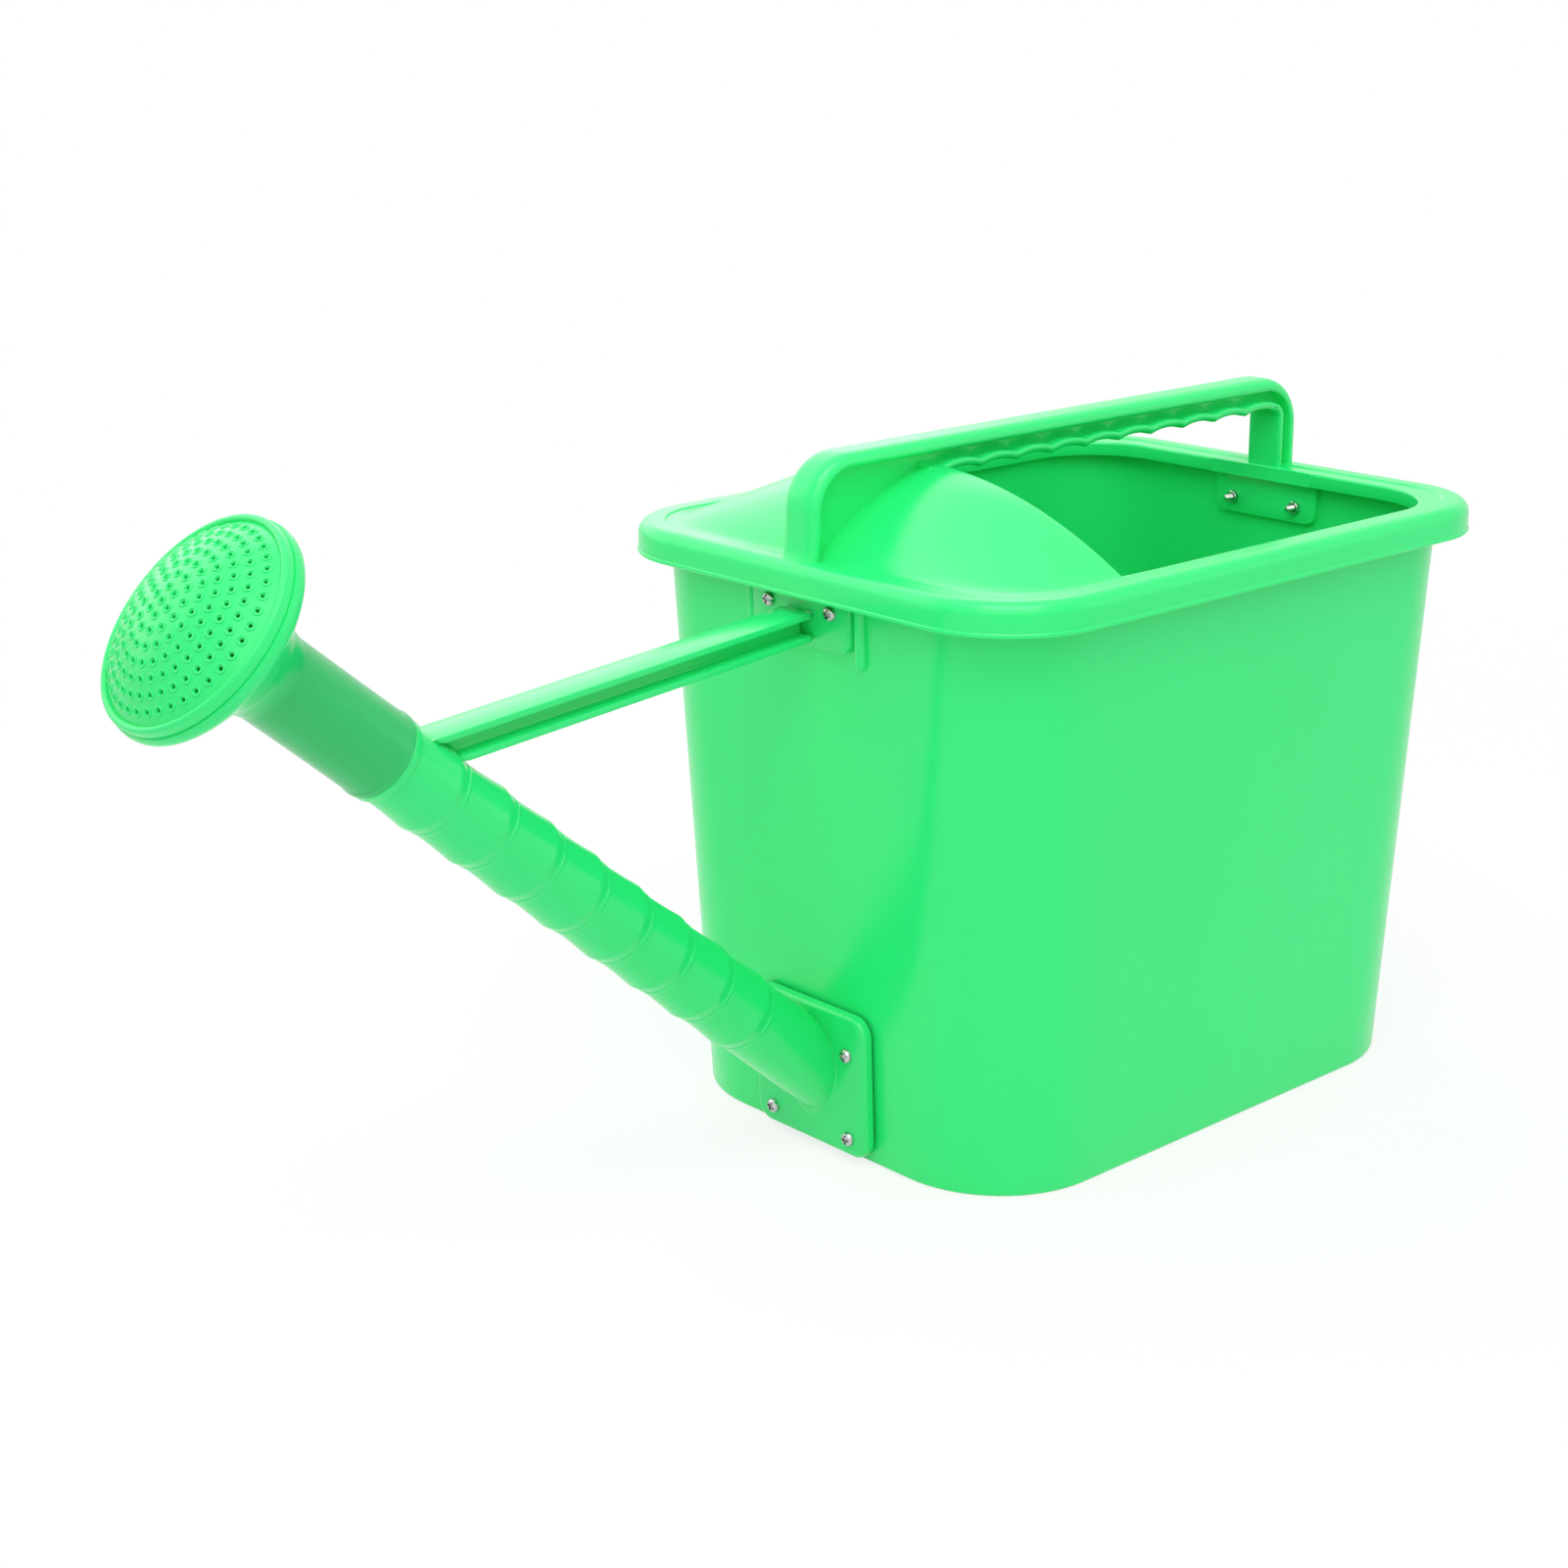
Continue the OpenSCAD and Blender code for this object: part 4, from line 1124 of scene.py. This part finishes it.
def makeRoseFace():
    at, rim, wall, b = rose["rimAt"], rose["rimR"], rose["wall"], rose["borderR"]
    borderMid, borderAt, domeAt = rim - 1 - b, at + 2.9, at + 3.3
    domeEdge = borderMid - b + 0.1
    high = rose["domeHigh"] - 0.8
    sphere = (domeEdge ** 2 + high ** 2) / (2 * high)
    middle = domeAt + high - sphere
    edge = math.asin(domeEdge / sphere)
    profile = [(sphere * math.sin(edge * k / 26), middle + sphere * math.cos(edge * k / 26)) for k in range(1, 27)]
    turns = [math.radians(168 - 12 * k) for k in range(15)]
    profile += [(borderMid + b * math.cos(a), borderAt + b * math.sin(a)) for a in turns]
    plug, end = rose["plugR"], at - rose["plugHigh"]
    profile += [(borderMid + b, at + 0.3), (borderMid + b - 0.2, at + 0.06), (plug, at + 0.06), (plug, end + 0.5),
                (plug - 0.5, end), (plug - wall, end), (plug - wall, at + 1)]
    lower = sphere - wall
    profile += [(lower * math.sin(edge * k / 12), middle + lower * math.cos(edge * k / 12)) for k in range(12, 0, -1)]
    n = rose["around"]
    points = [(a, b, s) for r, s in profile for a, b in circle(r, n)]
    points += [(0, 0, middle + sphere), (0, 0, middle + lower)]
    faces = gridFaces(len(profile), n)
    last = (len(profile) - 1) * n
    faces += [(k, (k + 1) % n, len(points) - 2) for k in range(n)]
    faces += [(last + (k + 1) % n, last + k, len(points) - 1) for k in range(n)]
    obj = tidyMesh(newMesh("roseFace", points, faces, mintPlastic), 30)
    total = 1 + 3 * (rose["rings"] - 1) * rose["rings"] + rose["outerCount"]
    lengths = {"domeR": sphere * mm, "domeMiddle": middle * mm, "pitch": rose["holePitch"] * mm,
               "holeR": rose["holeR"] * mm, "collarR": rose["collarR"] * mm, "collarThick": rose["collarThick"] * mm}
    runGroup(obj, perforatedGroup(), mintPlastic,
             {**lengths, "turn": math.radians(rose["turn"]), "count": total, "outerRing": rose["rings"],
              "outerCount": rose["outerCount"]})
    moveMesh(obj, lambda x, y, z: onSpout(math.hypot(x, y), math.atan2(y, x), z))
    return finishPiece(tidyMesh(obj, 30, 0.000004), "rose_cap", "green_plastic", "rose_face")


makeRoseBody()
makeRoseFace()
print("rose made")

# screws and nuts: one of each is made, then set out in rows by a node group
fastener = {"headR": 3.0, "headHigh": 2.2, "shankR": 1.5, "threadPitch": 0.5, "threadDeep": 0.27, "recessLong": 4.2,
            "recessWide": 1.2, "recessDeep": 1.7, "nutFlats": 5.5, "nutHigh": 2.4, "nutBore": 1.55, "around": 36,
            "shankAround": 24, "nutAround": 48, "seed": 7}


def makeHead(name):
    # head on the -x side of the seat
    f = fastener
    high, wide = f["headHigh"], f["headR"]
    head = [(0.35, -high), (1.5, -high * 0.98), (2.15, -high * 0.89), (2.6, -high * 0.7), (2.87, -high * 0.42),
            (2.97, -0.4), (wide, -0.12), (wide - 0.06, 0), (f["shankR"], 0.02)]
    obj = loft(name, [[(x, *p) for p in circle(r, f["around"])] for r, x in head], zincPlate)
    half, side, low = f["recessLong"] / 2, f["recessWide"] / 2, f["recessDeep"] - high
    outline = [(-high - 1, half + 0.3), (low - 0.4, half - 0.5), (low, 0.5), (low, -0.5), (low - 0.4, 0.5 - half),
               (-high - 1, -half - 0.3)]
    count = len(outline)
    faces = [tuple(range(count)), tuple(reversed(range(count, 2 * count)))]
    faces += [(j, j + count, (j + 1) % count + count, (j + 1) % count) for j in range(count)]
    for turn in (0, math.pi / 2):
        c, s = math.cos(turn), math.sin(turn)
        points = [(x, y * c - z * s, y * s + z * c) for z in (-side, side) for x, y in outline]
        cutWith(obj, tidyMesh(newMesh("recess", points, faces, zincPlate)))
    return tidyMesh(obj, 28)


def makeShank(length, smooth):
    f = fastener
    count, pitch, full = f["shankAround"], f["threadPitch"], f["shankR"]
    stations = [-0.2, smooth]
    stations += [smooth + pitch * k / 6 for k in range(1, int((length - 0.5 - smooth) / pitch * 6))]
    rings = []
    for x in stations + [length - 0.3, length]:
        ring = []
        for k in range(count):
            phase = ((x - smooth) / pitch + k / count) % 1.0
            cut = 0.0 if x <= smooth else f["threadDeep"] * abs(2 * phase - 1) * min(1.0, (x - smooth) / 0.5)
            r = (full - cut) if x < length - 0.35 else (full - 0.3 if x < length - 0.1 else full - 0.6)
            ring.append((x, r * math.cos(2 * math.pi * k / count), r * math.sin(2 * math.pi * k / count)))
        rings.append(ring)
    return tidyMesh(loft("shank", rings, zincPlate), 60)


def makeScrewMesh(name, length, smooth):
    return joinPieces(name, [makeHead(name), makeShank(length, smooth)])


def makeNutMesh(name):
    f = fastener
    flat, high, bore = f["nutFlats"] / 2, f["nutHigh"], f["nutBore"]
    levels = [(bore + 0.25, 0), (flat * 0.94, 0), (flat * 1.06, 0.22), (9, 0.55), (9, high - 0.55),
              (flat * 1.06, high - 0.22), (flat * 0.94, high), (bore + 0.25, high), (bore, high - 0.25), (bore, 0.25)]
    rings = []
    for limit, x in levels:
        ring = []
        for k in range(f["nutAround"]):
            a = 2 * math.pi * k / f["nutAround"]
            r = min(limit, flat / math.cos(a % (math.pi / 3) - math.pi / 6))
            ring.append((x, r * math.cos(a), r * math.sin(a)))
        rings.append(ring)
    return tidyMesh(ringSolid(name, rings, zincPlate), 24)


def rowsGroup():
    group, given = newGroup("fastenerRows", depth=1.0, halfSpan=1.0, low=1.0, rise=1.0, rows=1, seed=1)
    start = vector(group, given.depth, given.halfSpan * -1.0, given.low)
    pair = groupNode(group, "GeometryNodeMeshLine", Count=2, Start_Location=start,
                     Offset=vector(group, 0.0, given.halfSpan * 2.0, 0.0))
    column = groupNode(group, "GeometryNodeMeshLine", Count=given.rows, Start_Location=(0.0, 0.0, 0.0),
                       Offset=vector(group, 0.0, 0.0, given.rise))
    block = groupNode(group, "GeometryNodeInstanceOnPoints", Points=pair, Instance=column)
    spots = groupNode(group, "GeometryNodeRealizeInstances", Geometry=block)
    turn = groupNode(group, "FunctionNodeRandomValue", 1, {"data_type": "FLOAT"})
    for value, place in ((0.0, 2), (2 * math.pi, 3), (given.seed, "Seed")):
        plug(value, turn.node.inputs[place])
    placed = groupNode(group, "GeometryNodeInstanceOnPoints", Points=spots, Instance=given.Geometry,
                       Rotation=vector(group, turn, 0.0, 0.0))
    closeGroup(group, placed, given.material)
    return group


fastenerRows = rowsGroup()


def setOut(obj, place, seat, halfSpan, low, rise, rows, seed, *nodes):
    sizes = {"depth": seat * mm, "halfSpan": halfSpan * mm, "low": low * mm, "rise": rise * mm}
    runGroup(obj, fastenerRows, zincPlate, {**sizes, "rows": rows, "seed": seed})
    moveMesh(obj, place)
    tidyMesh(obj, 28, 0.000001, False)
    return finishPiece(obj, "can", "zinc_steel", *nodes)


def behind(x, y, z):
    px, py, pz = onFront(x, y, z)
    return (-px, -py, pz)


def makeFasteners():
    f, halfY, seed = flangePlaces, tabPlaces["halfY"], fastener["seed"]
    flangeRows = (f["halfY"], f["low"], f["high"] - f["low"], 2)
    setOut(makeScrewMesh("flangeScrews", 14, 6), onFront, spout["flangeFace"], *flangeRows, seed,
           *["spout_screw_" + k for k in "1234"])
    setOut(makeNutMesh("flangeNuts"), onFront, tub["wall"], *flangeRows, seed + 1,
           *["spout_nut_" + k for k in "1234"])
    inner = tub["wall"] + cover["tabThick"]
    for word, place, seat, length in (("brace", onFront, -brace["plateThick"], 14), ("rear", behind, 0.0, 12)):
        setOut(makeScrewMesh(word + "Screws", length, 4), place, seat, halfY, tabHigh, 0.0, 1, seed + 2,
               word + "_screw_left", word + "_screw_right")
        setOut(makeNutMesh(word + "Nuts"), place, inner, halfY, tabHigh, 0.0, 1, seed + 3,
               word + "_nut_left", word + "_nut_right")


makeFasteners()
print("fasteners made")
